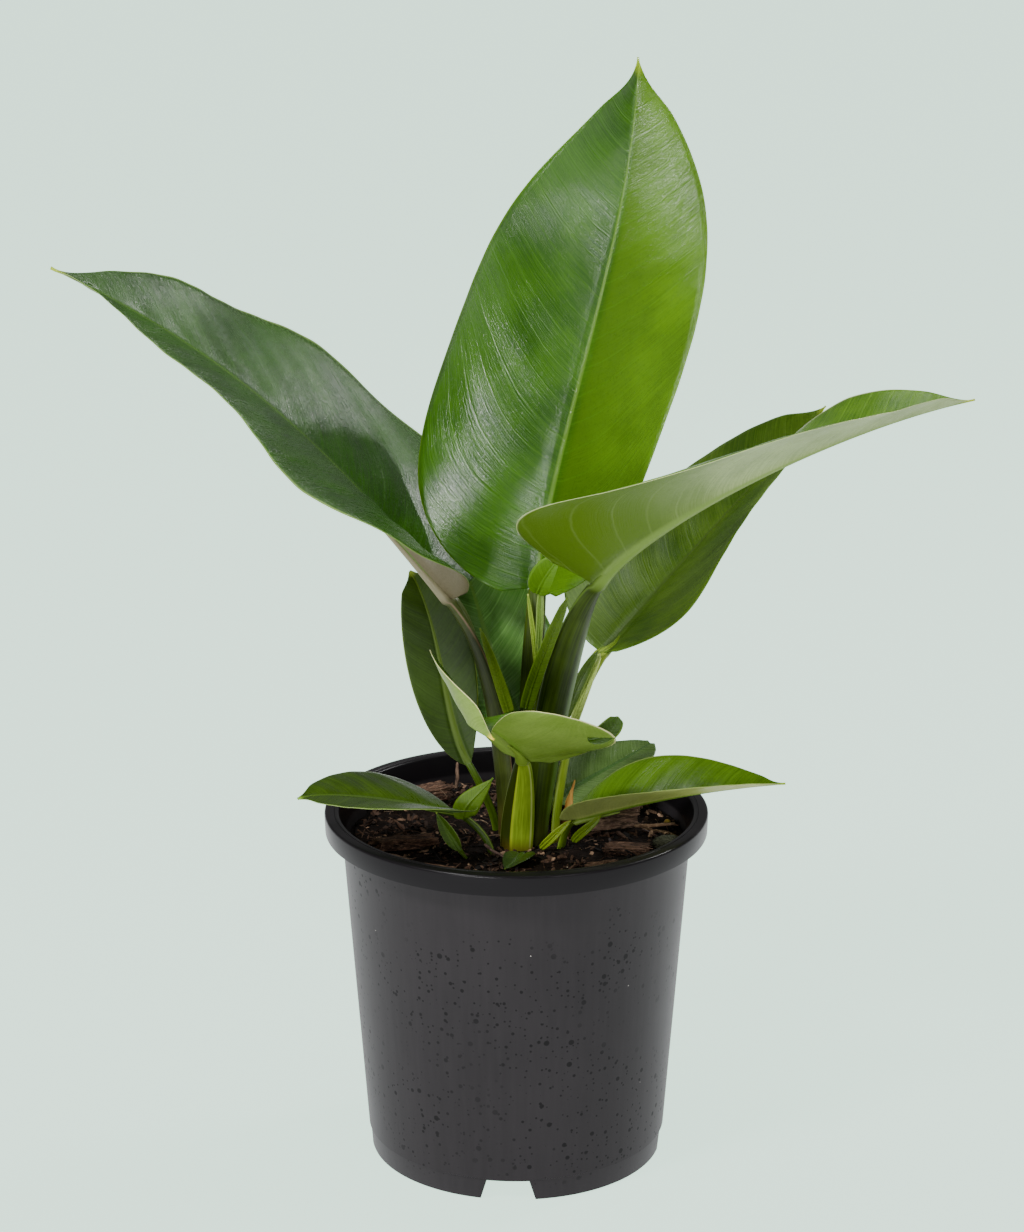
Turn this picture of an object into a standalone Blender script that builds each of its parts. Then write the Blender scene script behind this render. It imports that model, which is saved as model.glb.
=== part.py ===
"""Potted philodendron: a nursery pot, its potting mix, the rooted crown and ten leaves.

The frame stands on the ground at the middle of the pot's foot, +Z up, and -Y is the front.
Sizes below are in millimetres; MM turns them into Blender's metres.
Heights of the plant are counted from the surface of the potting mix, so it follows the pot.
"""

import math
from dataclasses import dataclass

import bmesh
import bpy
import numpy as np
from mathutils import Matrix

MM = 0.001

# Pot: a 200 mm injection-moulded nursery pot
RIM_RADIUS = 100.0
POT_HEIGHT = 187.0
RIM_WIDTH = 7.7
LIP_DEPTH = 11.0
LIP_WALL = 1.6
LIP_DRAFT = 0.4
WALL = 1.7
SHOULDER_RADIUS = 91.0
FOOT_RADIUS = 77.0
FOOT_BAND_HEIGHT = 12.0
FOOT_BAND_STEP = 0.8
FLOOR_HEIGHT = 9.0
FLOOR_THICKNESS = 1.8
POT_SEGMENTS = 64
NOTCH_COUNT = 4
NOTCH_TOP_WIDTH = 22.0
NOTCH_FOOT_WIDTH = 29.0
NOTCH_HEIGHT = 11.0
NOTCH_TURN = math.radians(-93.2)
DRAIN_SLOT_LENGTH = 16.0
DRAIN_SLOT_WIDTH = 9.0
DRAIN_SLOT_RADIUS = 58.0

# Potting mix and the crown that stands in it
MIX_BELOW_RIM = 19.0
MIX_SEGMENTS = 40
FIT_GAP = 0.5
CROWN_CENTRE = (4.0, 2.0)
CROWN_RADIUS = 26.0
CROWN_NECK_RADIUS = 12.0
CROWN_DEPTH = 42.0
ROOT_COUNT = 7
ROOT_SPREAD = 44.0
ROOT_DROP = 62.0
ROOT_RADIUS = 1.7
ROOT_GAP = 0.5

# Leaves
BLADE_THICKNESS = 1.1
TIP_HALF_WIDTH = 0.7
ROWS_ALONG = 13
ROWS_ACROSS = 6
STALK_SIDES = 10
STALK_RINGS = 8
STALK_FOOT_LIFT = 0.8
KEEL_LENGTH = 9.0

MIX_SURFACE = POT_HEIGHT - MIX_BELOW_RIM
FLOOR_TOP = FLOOR_HEIGHT + FLOOR_THICKNESS


@dataclass
class Leaf:
    """One leaf: a blade on a stalk. Points are (x, y, height above the mix) in millimetres."""

    name: str
    midrib: tuple  # Bezier points from the blade's base to its tip
    half_width: float
    facing: tuple  # where the upper face looks before it is rolled
    roll: tuple  # degrees about the midrib at base, middle and tip
    fold_left: tuple  # degrees each half rises from flat, at base, middle and tip
    fold_right: tuple
    camber: tuple  # degrees each half curls back towards its margin, left and right
    outline: tuple  # exponents that round the base and sharpen the tip
    foot: tuple  # where the stalk leaves the crown, x and y
    stalk_half_width: tuple  # Bezier values from foot to blade
    stalk_half_depth: tuple
    sheath_wrap: float  # how far the sheath's wings reach round the stalks inside it
    sheath_back: float  # degrees, the side of the crown that the stalk's back looks to
    rise: float = 50.0  # how far the stalk keeps straight up from its foot
    bend: float = 30.0  # how soon it turns into the midrib
    lobe: float = 0.0  # how far the base reaches behind the stalk, as a share of the length
    wave: tuple = (0.0, 1.0, 0.0)  # the margin's wave: height, cycles, phase in degrees
    blunt: float = 1.0  # share of the length that is left where the tip is lost


LEAVES = (
    Leaf(
        name="tall_centre_leaf",
        midrib=((11, 27, 130), (16, 42, 195), (62, 50, 316), (62, 76, 398)),
        half_width=86,
        facing=(0, -1, 0),
        roll=(-22, -23, 6),
        fold_left=(26, 8, 20),
        fold_right=(40, 27, 19),
        camber=(-22, -1),
        outline=(0.57, 1.09),
        foot=(6, 10),
        stalk_half_width=(4.5, 7, 6, 4.8),
        stalk_half_depth=(3.2, 3, 3, 3.2),
        sheath_wrap=0.5,
        sheath_back=90,
        lobe=0.01,
        wave=(-12.7, 0.8, -20.1),
    ),
    Leaf(
        name="left_leaf",
        midrib=((-34, 23, 125), (-97, 34, 205), (-144, 4, 259), (-231, -3, 304)),
        half_width=89,
        facing=(0, 0, 1),
        roll=(-4, -21, -17),
        fold_left=(48, 21, 33),
        fold_right=(24, 6, 19),
        camber=(-21, -7),
        outline=(0.51, 1.13),
        foot=(-6, 4),
        stalk_half_width=(5.2, 8, 11, 4.2),
        stalk_half_depth=(2, 2, 2.4, 3.6),
        sheath_wrap=2,
        sheath_back=-140,
        wave=(3, 2.8, -192.7),
        lobe=0.00,
    ),
    Leaf(
        name="right_leaf",
        midrib=((40, -21, 145), (60, -38, 186), (166, -26, 229), (231, 5, 235)),
        half_width=82,
        facing=(0, 0, 1),
        roll=(-7, -10, -3),
        fold_left=(45, 11, 45),
        fold_right=(68, 31, 50),
        camber=(-26, -40),
        outline=(0.47, 1.18),
        foot=(11, -9),
        stalk_half_width=(5, 9, 13, 4.2),
        stalk_half_depth=(1.8, 2, 2.4, 3.6),
        sheath_wrap=3,
        sheath_back=-75,
        wave=(4.5, 1.4, 32.8),
        lobe=0.01,
    ),
    Leaf(
        name="right_rear_leaf",
        midrib=((45, 33, 93), (64, 60, 106), (102, 84, 144), (165, 96, 211)),
        half_width=54,
        facing=(0, -1, 0.6),
        roll=(-9, -31, -26),
        fold_left=(15, 3, 13),
        fold_right=(43, 41, 38),
        camber=(-12, -6),
        outline=(0.58, 0.97),
        foot=(20, -3),
        stalk_half_width=(3, 3.5, 6, 3.6),
        stalk_half_depth=(1.8, 2, 2, 2.6),
        sheath_wrap=0.5,
        sheath_back=-30,
        rise=20,
        wave=(1.2, 1.1, 33),
    ),
    Leaf(
        name="rear_leaf",
        midrib=((1, 32, 56), (-16, 46, 88), (-22, 68, 124), (-36, 88, 146)),
        half_width=35,
        facing=(0, -1, 0.5),
        roll=(-5, -3, 2),
        fold_left=(15, 15, 15),
        fold_right=(20, 18, 13),
        camber=(-8, -8),
        outline=(0.55, 1.05),
        foot=(3, 17),
        stalk_half_width=(4, 4, 4, 3),
        stalk_half_depth=(2, 2, 2, 2.2),
        sheath_wrap=0.5,
        sheath_back=90,
        rise=20,
        bend=12,
        lobe=0.03,
    ),
    Leaf(
        name="left_rear_leaf",
        midrib=((-25, 15, 38), (-39, 26, 59), (-38, 33, 108), (-56, 53, 132)),
        half_width=18,
        facing=(0, -1, 0.4),
        roll=(-3, 3, 0),
        fold_left=(15, 17, 15),
        fold_right=(17, 15, 15),
        camber=(-8, -8),
        outline=(0.7, 0.62),
        foot=(-10, 14),
        stalk_half_width=(2.4, 2.2, 2, 1.8),
        stalk_half_depth=(1.6, 1.6, 1.6, 1.6),
        sheath_wrap=0,
        sheath_back=120,
        rise=12,
        bend=8,
    ),
    Leaf(
        name="young_front_leaf",
        midrib=((3, -30, 55), (1, -54, 82), (-46, -94, 107), (-11, -115, 95)),
        half_width=56,
        facing=(0, 0, 1),
        roll=(-12, -11, -33),
        fold_left=(24, 24, 42),
        fold_right=(23, 22, 66),
        camber=(-3, 15),
        outline=(0.51, 0.98),
        foot=(0, -15),
        stalk_half_width=(8, 10, 6, 3.6),
        stalk_half_depth=(1.8, 2, 2, 2.4),
        sheath_wrap=1.5,
        sheath_back=-90,
        rise=18,
        bend=12,
        lobe=0.06,
        wave=(0, 1, 0),
    ),
    Leaf(
        name="low_left_leaf",
        midrib=((-30, -20, 23), (-33, -27, 27), (-95, -37, 44), (-111, -43, 39)),
        half_width=29.4,
        facing=(0, -0.4, 1),
        roll=(25, 15, 9),
        fold_left=(19, 19, 3),
        fold_right=(10, 14, 9),
        camber=(-6, -22),
        outline=(0.59, 0.91),
        foot=(-12.5, -21),
        stalk_half_width=(2, 2, 2, 2),
        stalk_half_depth=(1.8, 1.8, 1.8, 1.8),
        sheath_wrap=0,
        sheath_back=-140,
        rise=14,
        bend=9,
        lobe=0.03,
    ),
    Leaf(
        name="low_right_leaf",
        midrib=((30, -13, 16), (65, -21, 31), (103, -31, 40), (137, -34, 44)),
        half_width=27,
        facing=(0, 0, 1),
        roll=(-3, 13, 3),
        fold_left=(22, 35, 17),
        fold_right=(45, 48, 34),
        camber=(-12, -17),
        outline=(0.55, 1.01),
        foot=(23, -12),
        stalk_half_width=(2.6, 2.6, 2.6, 2.4),
        stalk_half_depth=(1.6, 1.6, 1.6, 1.8),
        sheath_wrap=0,
        sheath_back=-45,
        rise=5,
        bend=5,
        lobe=0.05,
    ),
    Leaf(
        name="low_right_rear_leaf",
        midrib=((20, 30, 12), (36, 36, 22), (58, 48, 28), (75, 65, 34)),
        half_width=23,
        facing=(0, -0.6, 1),
        roll=(-8, -2, -4),
        fold_left=(6, 13, 11),
        fold_right=(15, 15, 15),
        camber=(-8, -8),
        outline=(0.53, 0.82),
        foot=(14, 22),
        stalk_half_width=(2.4, 2.4, 2.2, 2),
        stalk_half_depth=(1.6, 1.6, 1.6, 1.6),
        sheath_wrap=0,
        sheath_back=60,
        rise=5,
        bend=4,
        blunt=0.86,
    ),
    Leaf(
        name="small_side_leaf",
        midrib=((-29, -29, 6), (-33, -28, 12), (-37, -28, 19), (-41, -27, 26)),
        half_width=4,
        facing=(0, -1, 0.5),
        roll=(-20, -20, -20),
        fold_left=(25, 25, 20),
        fold_right=(25, 25, 20),
        camber=(-6, -6),
        outline=(0.6, 0.9),
        foot=(-25, -26),
        stalk_half_width=(1.4, 1.4, 1.3, 1.2),
        stalk_half_depth=(1.1, 1.1, 1.1, 1.1),
        sheath_wrap=0,
        sheath_back=-140,
        rise=2,
        bend=2,
    ),
    Leaf(
        name="low_front_leaf",
        midrib=((3, -26, 3.2), (3, -33, 4.8), (0, -42, 5), (-6, -51, 4)),
        half_width=8,
        facing=(0, 0, 1),
        roll=(0, 4, 6),
        fold_left=(16, 18, 12),
        fold_right=(16, 18, 12),
        camber=(-10, -10),
        outline=(0.5, 0.9),
        foot=(3, -21),
        stalk_half_width=(1.6, 1.6, 1.5, 1.4),
        stalk_half_depth=(1.1, 1.1, 1.1, 1.1),
        sheath_wrap=0,
        sheath_back=-90,
        rise=1,
        bend=2,
    ),
)


@dataclass
class Lump:
    """A loose piece on the mix: x and y of its middle, its size and how it lies, in degrees."""

    name: str
    place: tuple
    size: tuple
    turn: float
    tilt: float = 0.0
    above: float = 0.0  # extra height over the mix where it lies across another piece
    rough: float = 0.16


BARK = (
    Lump("bark_block", (51, 20), (24, 13, 12), 12, rough=0.1),
    Lump("bark_slab_left", (-58, -13), (34, 9, 6), 28, tilt=6),
    Lump("bark_slab_rim", (-66, -35), (22, 10, 5), -28),
    Lump("bark_chip_front_left", (-41, -51), (17, 11, 6), -20),
    Lump("bark_chip_front", (-18, -62), (20, 12, 5), 12),
    Lump("bark_chip_mound", (-46, 57), (18, 13, 11), 35),
    Lump("bark_chip_rear", (-62, 47), (14, 10, 8), -25),
    Lump("bark_chip_right", (57, -19), (22, 11, 6), -8),
    Lump("bark_chip_right_front", (45, -45), (18, 12, 6), 18),
    Lump("grey_grit", (79, -13), (13, 9, 7), 10, rough=0.12),
)
TWIGS = (
    Lump("twig_lower", (75, 10), (26, 2.6, 2.6), -38),
    Lump("twig_upper", (73, 13), (24, 2.2, 2.2), 12, above=3.2),
    Lump("twig_front", (-10, -32), (17, 2, 2), 8, tilt=38),
    Lump("bark_sliver", (-32, 66), (2.2, 5, 19), 20),
)
BEAD_PLACE = (80, 23)
BEAD_RADIUS = 1.9
BUD_SCALE_FOOT = (25.5, 3.5)
BUD_SCALE_HEIGHT = 33.0
BUD_SCALE_HALF_WIDTH = 2.6
SURFACE_GAP = 0.3
SPREAD_RADIUS = 88.4  # radius of the mix that the loose pieces' places and sizes are given for


# ---------------------------------------------------------------- scene and helpers


def clear_scene():
    for old in list(bpy.data.objects):
        bpy.data.objects.remove(old, do_unlink=True)


def new_collection(name):
    collection = bpy.data.collections.new(name)
    bpy.context.scene.collection.children.link(collection)
    return collection


def material(name, colour, roughness):
    made = bpy.data.materials.new(name)
    made.use_nodes = True
    shader = made.node_tree.nodes["Principled BSDF"]
    shader.inputs["Base Color"].default_value = (*colour, 1.0)
    shader.inputs["Roughness"].default_value = roughness
    shader.inputs["Metallic"].default_value = 0.0
    return made


def add_object(name, mesh_data, collection, surface=None):
    obj = bpy.data.objects.new(name, mesh_data)
    collection.objects.link(obj)
    if surface:
        mesh_data.materials.append(surface)
    return obj


def mesh_from(bm, name):
    bmesh.ops.recalc_face_normals(bm, faces=bm.faces[:])
    mesh_data = bpy.data.meshes.new(name)
    bm.to_mesh(mesh_data)
    bm.free()
    return mesh_data


def add_cutter(name, mesh_data):
    cutter = add_object(name, mesh_data, cutters)
    cutter.hide_render = True
    cutter.display_type = "WIRE"
    return cutter


def boolean(obj, other, operation):
    step = obj.modifiers.new(f"{operation.lower()} {other.name}", "BOOLEAN")
    step.operation = operation
    step.solver = "EXACT"
    step.object = other


def turned(name, profile, segments):
    """A closed profile of (radius, height) points spun once about the Z axis."""
    bm = bmesh.new()
    verts = [bm.verts.new((r * MM, 0.0, z * MM)) for r, z in profile]
    edges = [bm.edges.new((a, b)) for a, b in zip(verts, verts[1:] + verts[:1])]
    bmesh.ops.spin(
        bm,
        geom=verts + edges,
        axis=(0, 0, 1),
        cent=(0, 0, 0),
        angle=math.tau,
        steps=segments,
        use_merge=True,
    )
    bmesh.ops.remove_doubles(bm, verts=bm.verts[:], dist=1e-6)
    return mesh_from(bm, name)


def bezier(points, t):
    """Points or plain values of a cubic Bezier at each t."""
    p = np.asarray(points, float)
    t = np.asarray(t, float)
    if p.ndim > 1:
        t = t[..., None]
    u = 1 - t
    return p[0] * u**3 + 3 * p[1] * t * u**2 + 3 * p[2] * t**2 * u + p[3] * t**3


def bezier_slope(points, t):
    p = np.asarray(points, float)
    t = np.asarray(t, float)[..., None]
    u = 1 - t
    return 3 * ((p[1] - p[0]) * u**2 + 2 * (p[2] - p[1]) * t * u + (p[3] - p[2]) * t**2)


def unit(v):
    return v / np.linalg.norm(v, axis=-1, keepdims=True)


def through(values, t):
    """A curve through three values, at t = 0, 1/2 and 1."""
    first, middle, last = values
    return first * (1 - t) * (1 - 2 * t) + 4 * middle * t * (1 - t) + last * t * (2 * t - 1)


# ---------------------------------------------------------------- leaf shape


def midrib_frame(leaf, along):
    """Point, direction, upper normal and right-hand side at each share of the midrib's length."""
    t = np.linspace(0, 1, 65)
    run = np.linalg.norm(np.diff(bezier(leaf.midrib, t), axis=0), axis=1)
    distance = np.concatenate([[0.0], np.cumsum(run)])
    length = distance[-1]
    on_rib = np.clip(along, 0, 1)
    at = np.interp(on_rib * length, distance, t)
    direction = unit(bezier_slope(leaf.midrib, at))
    point = bezier(leaf.midrib, at) + direction * ((along - on_rib) * length)[..., None]
    facing = np.asarray(leaf.facing, float)
    up = unit(facing - direction * (direction @ facing)[..., None])
    right = np.cross(direction, up)
    turn = np.radians(through(leaf.roll, on_rib))[..., None]
    normal = up * np.cos(turn) + right * np.sin(turn)
    return point, direction, normal, np.cross(direction, normal)


def half_width_at(leaf, share):
    """Half the blade's width, from its rearmost point (share 0) to its tip (share 1)."""
    rounded, sharp = leaf.outline
    peak_at = rounded / (rounded + sharp)
    peak = peak_at**rounded * (1 - peak_at) ** sharp
    width = (share + 0.01) ** rounded * np.maximum(1 - share, 0) ** sharp / peak
    return np.maximum(width * leaf.half_width, TIP_HALF_WIDTH)


def blade_point(leaf, along, across):
    """Blade surface point: along runs 0 to 1 from base to tip, across -1 to 1 between margins."""
    side = np.sign(across)
    reach = np.abs(across)
    share = along**0.75
    margin = share * (1 + leaf.lobe) - leaf.lobe
    on_rib = along + (margin - along) * reach**1.3
    point, _, normal, right = midrib_frame(leaf, on_rib)
    width = reach * half_width_at(leaf, share)
    clipped = np.clip(on_rib, 0, 1)
    left_side = across < 0
    fold = np.where(left_side, through(leaf.fold_left, clipped), through(leaf.fold_right, clipped))
    camber = np.where(left_side, *leaf.camber) / leaf.half_width
    fold = np.radians(fold)
    turn = np.radians(camber) + 1e-7
    angle = fold + turn * width
    sideways = (np.sin(angle) - np.sin(fold)) / turn
    upwards = (np.cos(fold) - np.cos(angle)) / turn
    height, cycles, phase = leaf.wave
    beat = np.sin(math.tau * (cycles * clipped + phase / 360 + np.where(left_side, 0, 0.5)))
    swell = height * beat * reach**2 * np.minimum(1, 4 - 4 * clipped) * np.minimum(1, 0.2 + 4 * clipped)
    sideways = sideways - swell * np.sin(angle)
    upwards = upwards + swell * np.cos(angle)
    return point + right * (side * sideways)[..., None] + normal * upwards[..., None]


def stalk_route(leaf):
    """Bezier points of the stalk's middle, upright at its foot and in line with the midrib above."""
    base = np.asarray(leaf.midrib[0], float)
    start = unit(np.asarray(leaf.midrib[1], float) - base)
    foot = np.array([*leaf.foot, STALK_FOOT_LIFT])
    return np.array([foot, foot + (0, 0, leaf.rise), base - start * leaf.bend, base])


def stalk_point(leaf, along, turn):
    """Stalk surface point: along runs 0 to 1 from foot to blade, and on as a keel under the midrib."""
    route = stalk_route(leaf)
    on_stalk = np.clip(along, 0, 1)
    direction = unit(bezier_slope(route, on_stalk))
    back = math.radians(leaf.sheath_back)
    inward = np.array([-math.cos(back), -math.sin(back), 0.0])
    _, _, top_normal, _ = midrib_frame(leaf, np.zeros(1))
    front = inward + (top_normal[0] - inward) * (on_stalk**2)[..., None]
    front = unit(front - direction * (front * direction).sum(-1)[..., None])
    right = np.cross(direction, front)
    half_width = bezier(leaf.stalk_half_width, on_stalk)
    half_depth = bezier(leaf.stalk_half_depth, on_stalk)
    wrap = leaf.sheath_wrap * np.cos(turn) ** 2 * np.sin(math.pi * on_stalk) ** 0.5
    centre = bezier(route, on_stalk)
    keel = along > 1
    rib, _, rib_normal, rib_right = midrib_frame(leaf, np.maximum(along - 1, 0))
    centre = np.where(keel[..., None], rib - rib_normal * half_depth[..., None] * 0.5, centre)
    front = np.where(keel[..., None], rib_normal, front)
    right = np.where(keel[..., None], rib_right, right)
    taper = np.where(keel, 0.6, 1.0)
    across = half_width * np.cos(turn) * taper
    outward = half_depth * np.sin(turn) * taper + wrap
    return centre + right * across[..., None] + front * outward[..., None]


def lifted(points):
    """Plant points in millimetres above the mix, as metres in the row's frame."""
    return (points + (0, 0, MIX_SURFACE)) * MM


def make_blade(leaf):
    bm = bmesh.new()
    bmesh.ops.create_grid(bm, x_segments=ROWS_ACROSS, y_segments=ROWS_ALONG, size=1)
    flat = np.array([v.co for v in bm.verts])
    along = ((flat[:, 1] + 1) / 2) ** 1.6 * leaf.blunt
    for vert, place in zip(bm.verts, lifted(blade_point(leaf, along, flat[:, 0]))):
        vert.co = place
    return mesh_from(bm, leaf.name)


def make_stalk(leaf):
    bm = bmesh.new()
    bmesh.ops.create_grid(bm, x_segments=STALK_SIDES, y_segments=STALK_RINGS + 1, size=1)
    flat = np.array([v.co for v in bm.verts])
    ring = np.rint((flat[:, 1] + 1) / 2 * (STALK_RINGS + 1))
    rib_length = np.linalg.norm(np.subtract(leaf.midrib[3], leaf.midrib[0]))
    along = np.where(ring > STALK_RINGS, 1 + KEEL_LENGTH / rib_length, ring / STALK_RINGS)
    turn = (flat[:, 0] + 1) * math.pi
    for vert, place in zip(bm.verts, lifted(stalk_point(leaf, along, turn))):
        vert.co = place
    bmesh.ops.remove_doubles(bm, verts=bm.verts[:], dist=1e-6)
    bmesh.ops.holes_fill(bm, edges=[e for e in bm.edges if e.is_boundary], sides=0)
    return mesh_from(bm, f"{leaf.name} stalk")


def make_leaf(leaf):
    blade = add_object(leaf.name, make_blade(leaf), plant, leaf_green)
    shell = blade.modifiers.new("blade thickness", "SOLIDIFY")
    shell.thickness = BLADE_THICKNESS * MM
    shell.offset = 0.0
    boolean(blade, add_cutter(f"{leaf.name} stalk", make_stalk(leaf)), "UNION")


# ---------------------------------------------------------------- pot


def pot_radius(height):
    """Outer radius of the pot's side wall at a height above the foot band."""
    shoulder = POT_HEIGHT - LIP_DEPTH
    share = (height - FOOT_BAND_HEIGHT) / (shoulder - FOOT_BAND_HEIGHT)
    low = FOOT_RADIUS + 2 * FOOT_BAND_STEP
    return low + (SHOULDER_RADIUS - low) * share


def mix_radius(height):
    return pot_radius(height) - WALL - FIT_GAP


def make_pot():
    shoulder = POT_HEIGHT - LIP_DEPTH
    rim_inside = RIM_RADIUS - RIM_WIDTH
    lip_foot = RIM_RADIUS - LIP_DRAFT
    edge = 0.8
    profile = (
        (0, FLOOR_TOP),
        (pot_radius(FLOOR_TOP) - WALL, FLOOR_TOP),
        (SHOULDER_RADIUS - WALL, shoulder),
        (rim_inside, POT_HEIGHT - edge),
        (rim_inside + edge, POT_HEIGHT),
        (RIM_RADIUS - edge, POT_HEIGHT),
        (RIM_RADIUS, POT_HEIGHT - edge),
        (lip_foot, shoulder),
        (lip_foot - LIP_WALL, shoulder),
        (RIM_RADIUS - LIP_WALL, POT_HEIGHT - 2 * LIP_WALL),
        (rim_inside + 2 * edge, POT_HEIGHT - 2 * LIP_WALL),
        (SHOULDER_RADIUS, shoulder),
        (pot_radius(FOOT_BAND_HEIGHT), FOOT_BAND_HEIGHT),
        (FOOT_RADIUS + FOOT_BAND_STEP, FOOT_BAND_HEIGHT - 0.4),
        (FOOT_RADIUS, 0),
        (FOOT_RADIUS - WALL, 0),
        (FOOT_RADIUS - WALL, FLOOR_HEIGHT),
        (0, FLOOR_HEIGHT),
    )
    pot = add_object("nursery_pot", turned("nursery_pot", profile, POT_SEGMENTS), plant, pot_plastic)
    for index in range(NOTCH_COUNT):
        turn = NOTCH_TURN + math.tau * index / NOTCH_COUNT
        boolean(pot, make_notch(index, turn), "DIFFERENCE")
        boolean(pot, make_drain_slot(index, turn + math.pi / NOTCH_COUNT), "DIFFERENCE")


def make_notch(index, turn):
    """A wedge through the foot band, wider where it meets the ground."""
    bm = bmesh.new()
    bmesh.ops.create_cube(bm, size=1.0)
    depth = 4 * FOOT_BAND_STEP + 6 * WALL
    below = 1.0
    for vert in bm.verts:
        top = vert.co.z > 0
        width = NOTCH_TOP_WIDTH if top else NOTCH_FOOT_WIDTH
        vert.co.x = (FOOT_RADIUS + vert.co.x * depth) * MM
        vert.co.y *= width * MM
        vert.co.z = (NOTCH_HEIGHT if top else -below) * MM
    bm.faces.ensure_lookup_table()
    cutter = add_cutter(f"notch {index}", mesh_from(bm, "notch"))
    cutter.rotation_euler.z = turn
    return cutter


def make_drain_slot(index, turn):
    """A slot through the floor, so that water leaves into the recess under it."""
    bm = bmesh.new()
    bmesh.ops.create_cube(bm, size=1.0)
    for vert in bm.verts:
        vert.co.x = (DRAIN_SLOT_RADIUS + vert.co.x * DRAIN_SLOT_LENGTH) * MM
        vert.co.y *= DRAIN_SLOT_WIDTH * MM
        vert.co.z = (FLOOR_HEIGHT + FLOOR_THICKNESS / 2 + vert.co.z * 3 * FLOOR_THICKNESS) * MM
    cutter = add_cutter(f"drain slot {index}", mesh_from(bm, "drain slot"))
    cutter.rotation_euler.z = turn
    return cutter


# ---------------------------------------------------------------- crown, roots and potting mix


def crown_body(name, gap):
    """The short stem under the stalks, grown by gap; with a gap it is the hollow that holds it."""
    top = MIX_SURFACE + (gap if gap else -FIT_GAP)
    neck = MIX_SURFACE - CROWN_DEPTH * 0.55
    foot = MIX_SURFACE - CROWN_DEPTH - gap
    profile = (
        (0, top),
        (CROWN_RADIUS + gap, top),
        (CROWN_RADIUS + gap, MIX_SURFACE - 6 - gap),
        (CROWN_NECK_RADIUS + gap, neck),
        (CROWN_NECK_RADIUS * 0.7 + gap, foot),
        (0, foot),
    )
    mesh_data = turned(name, profile, MIX_SEGMENTS // 2)
    for vert in mesh_data.vertices:
        vert.co.x += CROWN_CENTRE[0] * MM
        vert.co.y += CROWN_CENTRE[1] * MM
    return mesh_data


def make_root(index, radius):
    """One root as a tapered tube, from inside the crown outwards and down through the mix."""
    turn = math.tau * (index + 0.3 * (index % 2)) / ROOT_COUNT
    out = np.array([math.cos(turn), math.sin(turn), 0.0])
    side = np.array([-out[1], out[0], 0.0])
    start = np.array([*CROWN_CENTRE, MIX_SURFACE - CROWN_DEPTH * 0.75])
    drop = ROOT_DROP * (1 + 0.2 * (index % 3))
    spread = ROOT_SPREAD * (1 - 0.12 * (index % 2))
    route = (
        start,
        start + out * spread * 0.6 + side * 5,
        start + out * spread - side * 6 - (0, 0, drop * 0.4),
        start + out * spread * 0.9 + side * 4 - (0, 0, drop),
    )
    sides, rings = 8, 9
    bm = bmesh.new()
    bmesh.ops.create_grid(bm, x_segments=sides, y_segments=rings, size=1)
    flat = np.array([v.co for v in bm.verts])
    along = (flat[:, 1] + 1) / 2
    angle = (flat[:, 0] + 1) * math.pi
    direction = unit(bezier_slope(route, along))
    level = unit(np.cross(direction, side))
    across = np.cross(direction, level)
    thick = radius * (1 - 0.45 * along)
    ring = level * (thick * np.cos(angle))[:, None] + across * (thick * np.sin(angle))[:, None]
    for vert, place in zip(bm.verts, (bezier(route, along) + ring) * MM):
        vert.co = place
    bmesh.ops.remove_doubles(bm, verts=bm.verts[:], dist=1e-6)
    bmesh.ops.holes_fill(bm, edges=[e for e in bm.edges if e.is_boundary], sides=0)
    return mesh_from(bm, f"root {index}")


def make_crown_and_mix():
    crown = add_object("crown_with_roots", crown_body("crown_with_roots", 0), plant, root_brown)
    low, high = FLOOR_TOP + FIT_GAP, MIX_SURFACE
    profile = ((0, low), (mix_radius(low), low), (mix_radius(high), high), (0, high))
    mix = add_object("potting_mix", turned("potting_mix", profile, MIX_SEGMENTS), plant, mix_brown)
    boolean(mix, add_cutter("crown hollow", crown_body("crown hollow", FIT_GAP)), "DIFFERENCE")
    for index in range(ROOT_COUNT):
        root = add_cutter(f"root {index}", make_root(index, ROOT_RADIUS))
        channel = add_cutter(f"root channel {index}", make_root(index, ROOT_RADIUS + ROOT_GAP))
        boolean(crown, root, "UNION")
        boolean(mix, channel, "DIFFERENCE")


# ---------------------------------------------------------------- pieces lying on the mix


def spread():
    """How far the loose pieces are drawn in or out to suit the width of the mix."""
    return mix_radius(MIX_SURFACE) / SPREAD_RADIUS


def lump_surface(bm, lump, rng):
    """Roughens a shape of unit size, gives it the lump's size and lays it on the mix."""
    tilt = math.radians(lump.tilt)
    turn = math.radians(lump.turn)
    middle = np.array(lump.place) * spread()
    points = np.array([v.co for v in bm.verts])
    points = points * (1 + rng.uniform(-lump.rough, lump.rough, points.shape))
    points = points * lump.size * spread()
    points = points @ np.array(Matrix.Rotation(tilt, 3, "Y")).T
    points = points @ np.array(Matrix.Rotation(turn, 3, "Z")).T
    low = -points[:, 2].min() + SURFACE_GAP + lump.above
    for vert, place in zip(bm.verts, lifted(points + (*middle, low))):
        vert.co = place


def make_bark(lump, seed, surface):
    bm = bmesh.new()
    bmesh.ops.create_cube(bm, size=1.0)
    bmesh.ops.subdivide_edges(bm, edges=bm.edges[:], cuts=1, use_grid_fill=True)
    lump_surface(bm, lump, np.random.default_rng(seed))
    piece = add_object(lump.name, mesh_from(bm, lump.name), plant, surface)
    edge = piece.modifiers.new("worn edges", "BEVEL")
    edge.width = 0.06 * min(lump.size) * MM
    edge.segments = 1
    edge.limit_method = "ANGLE"


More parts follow.
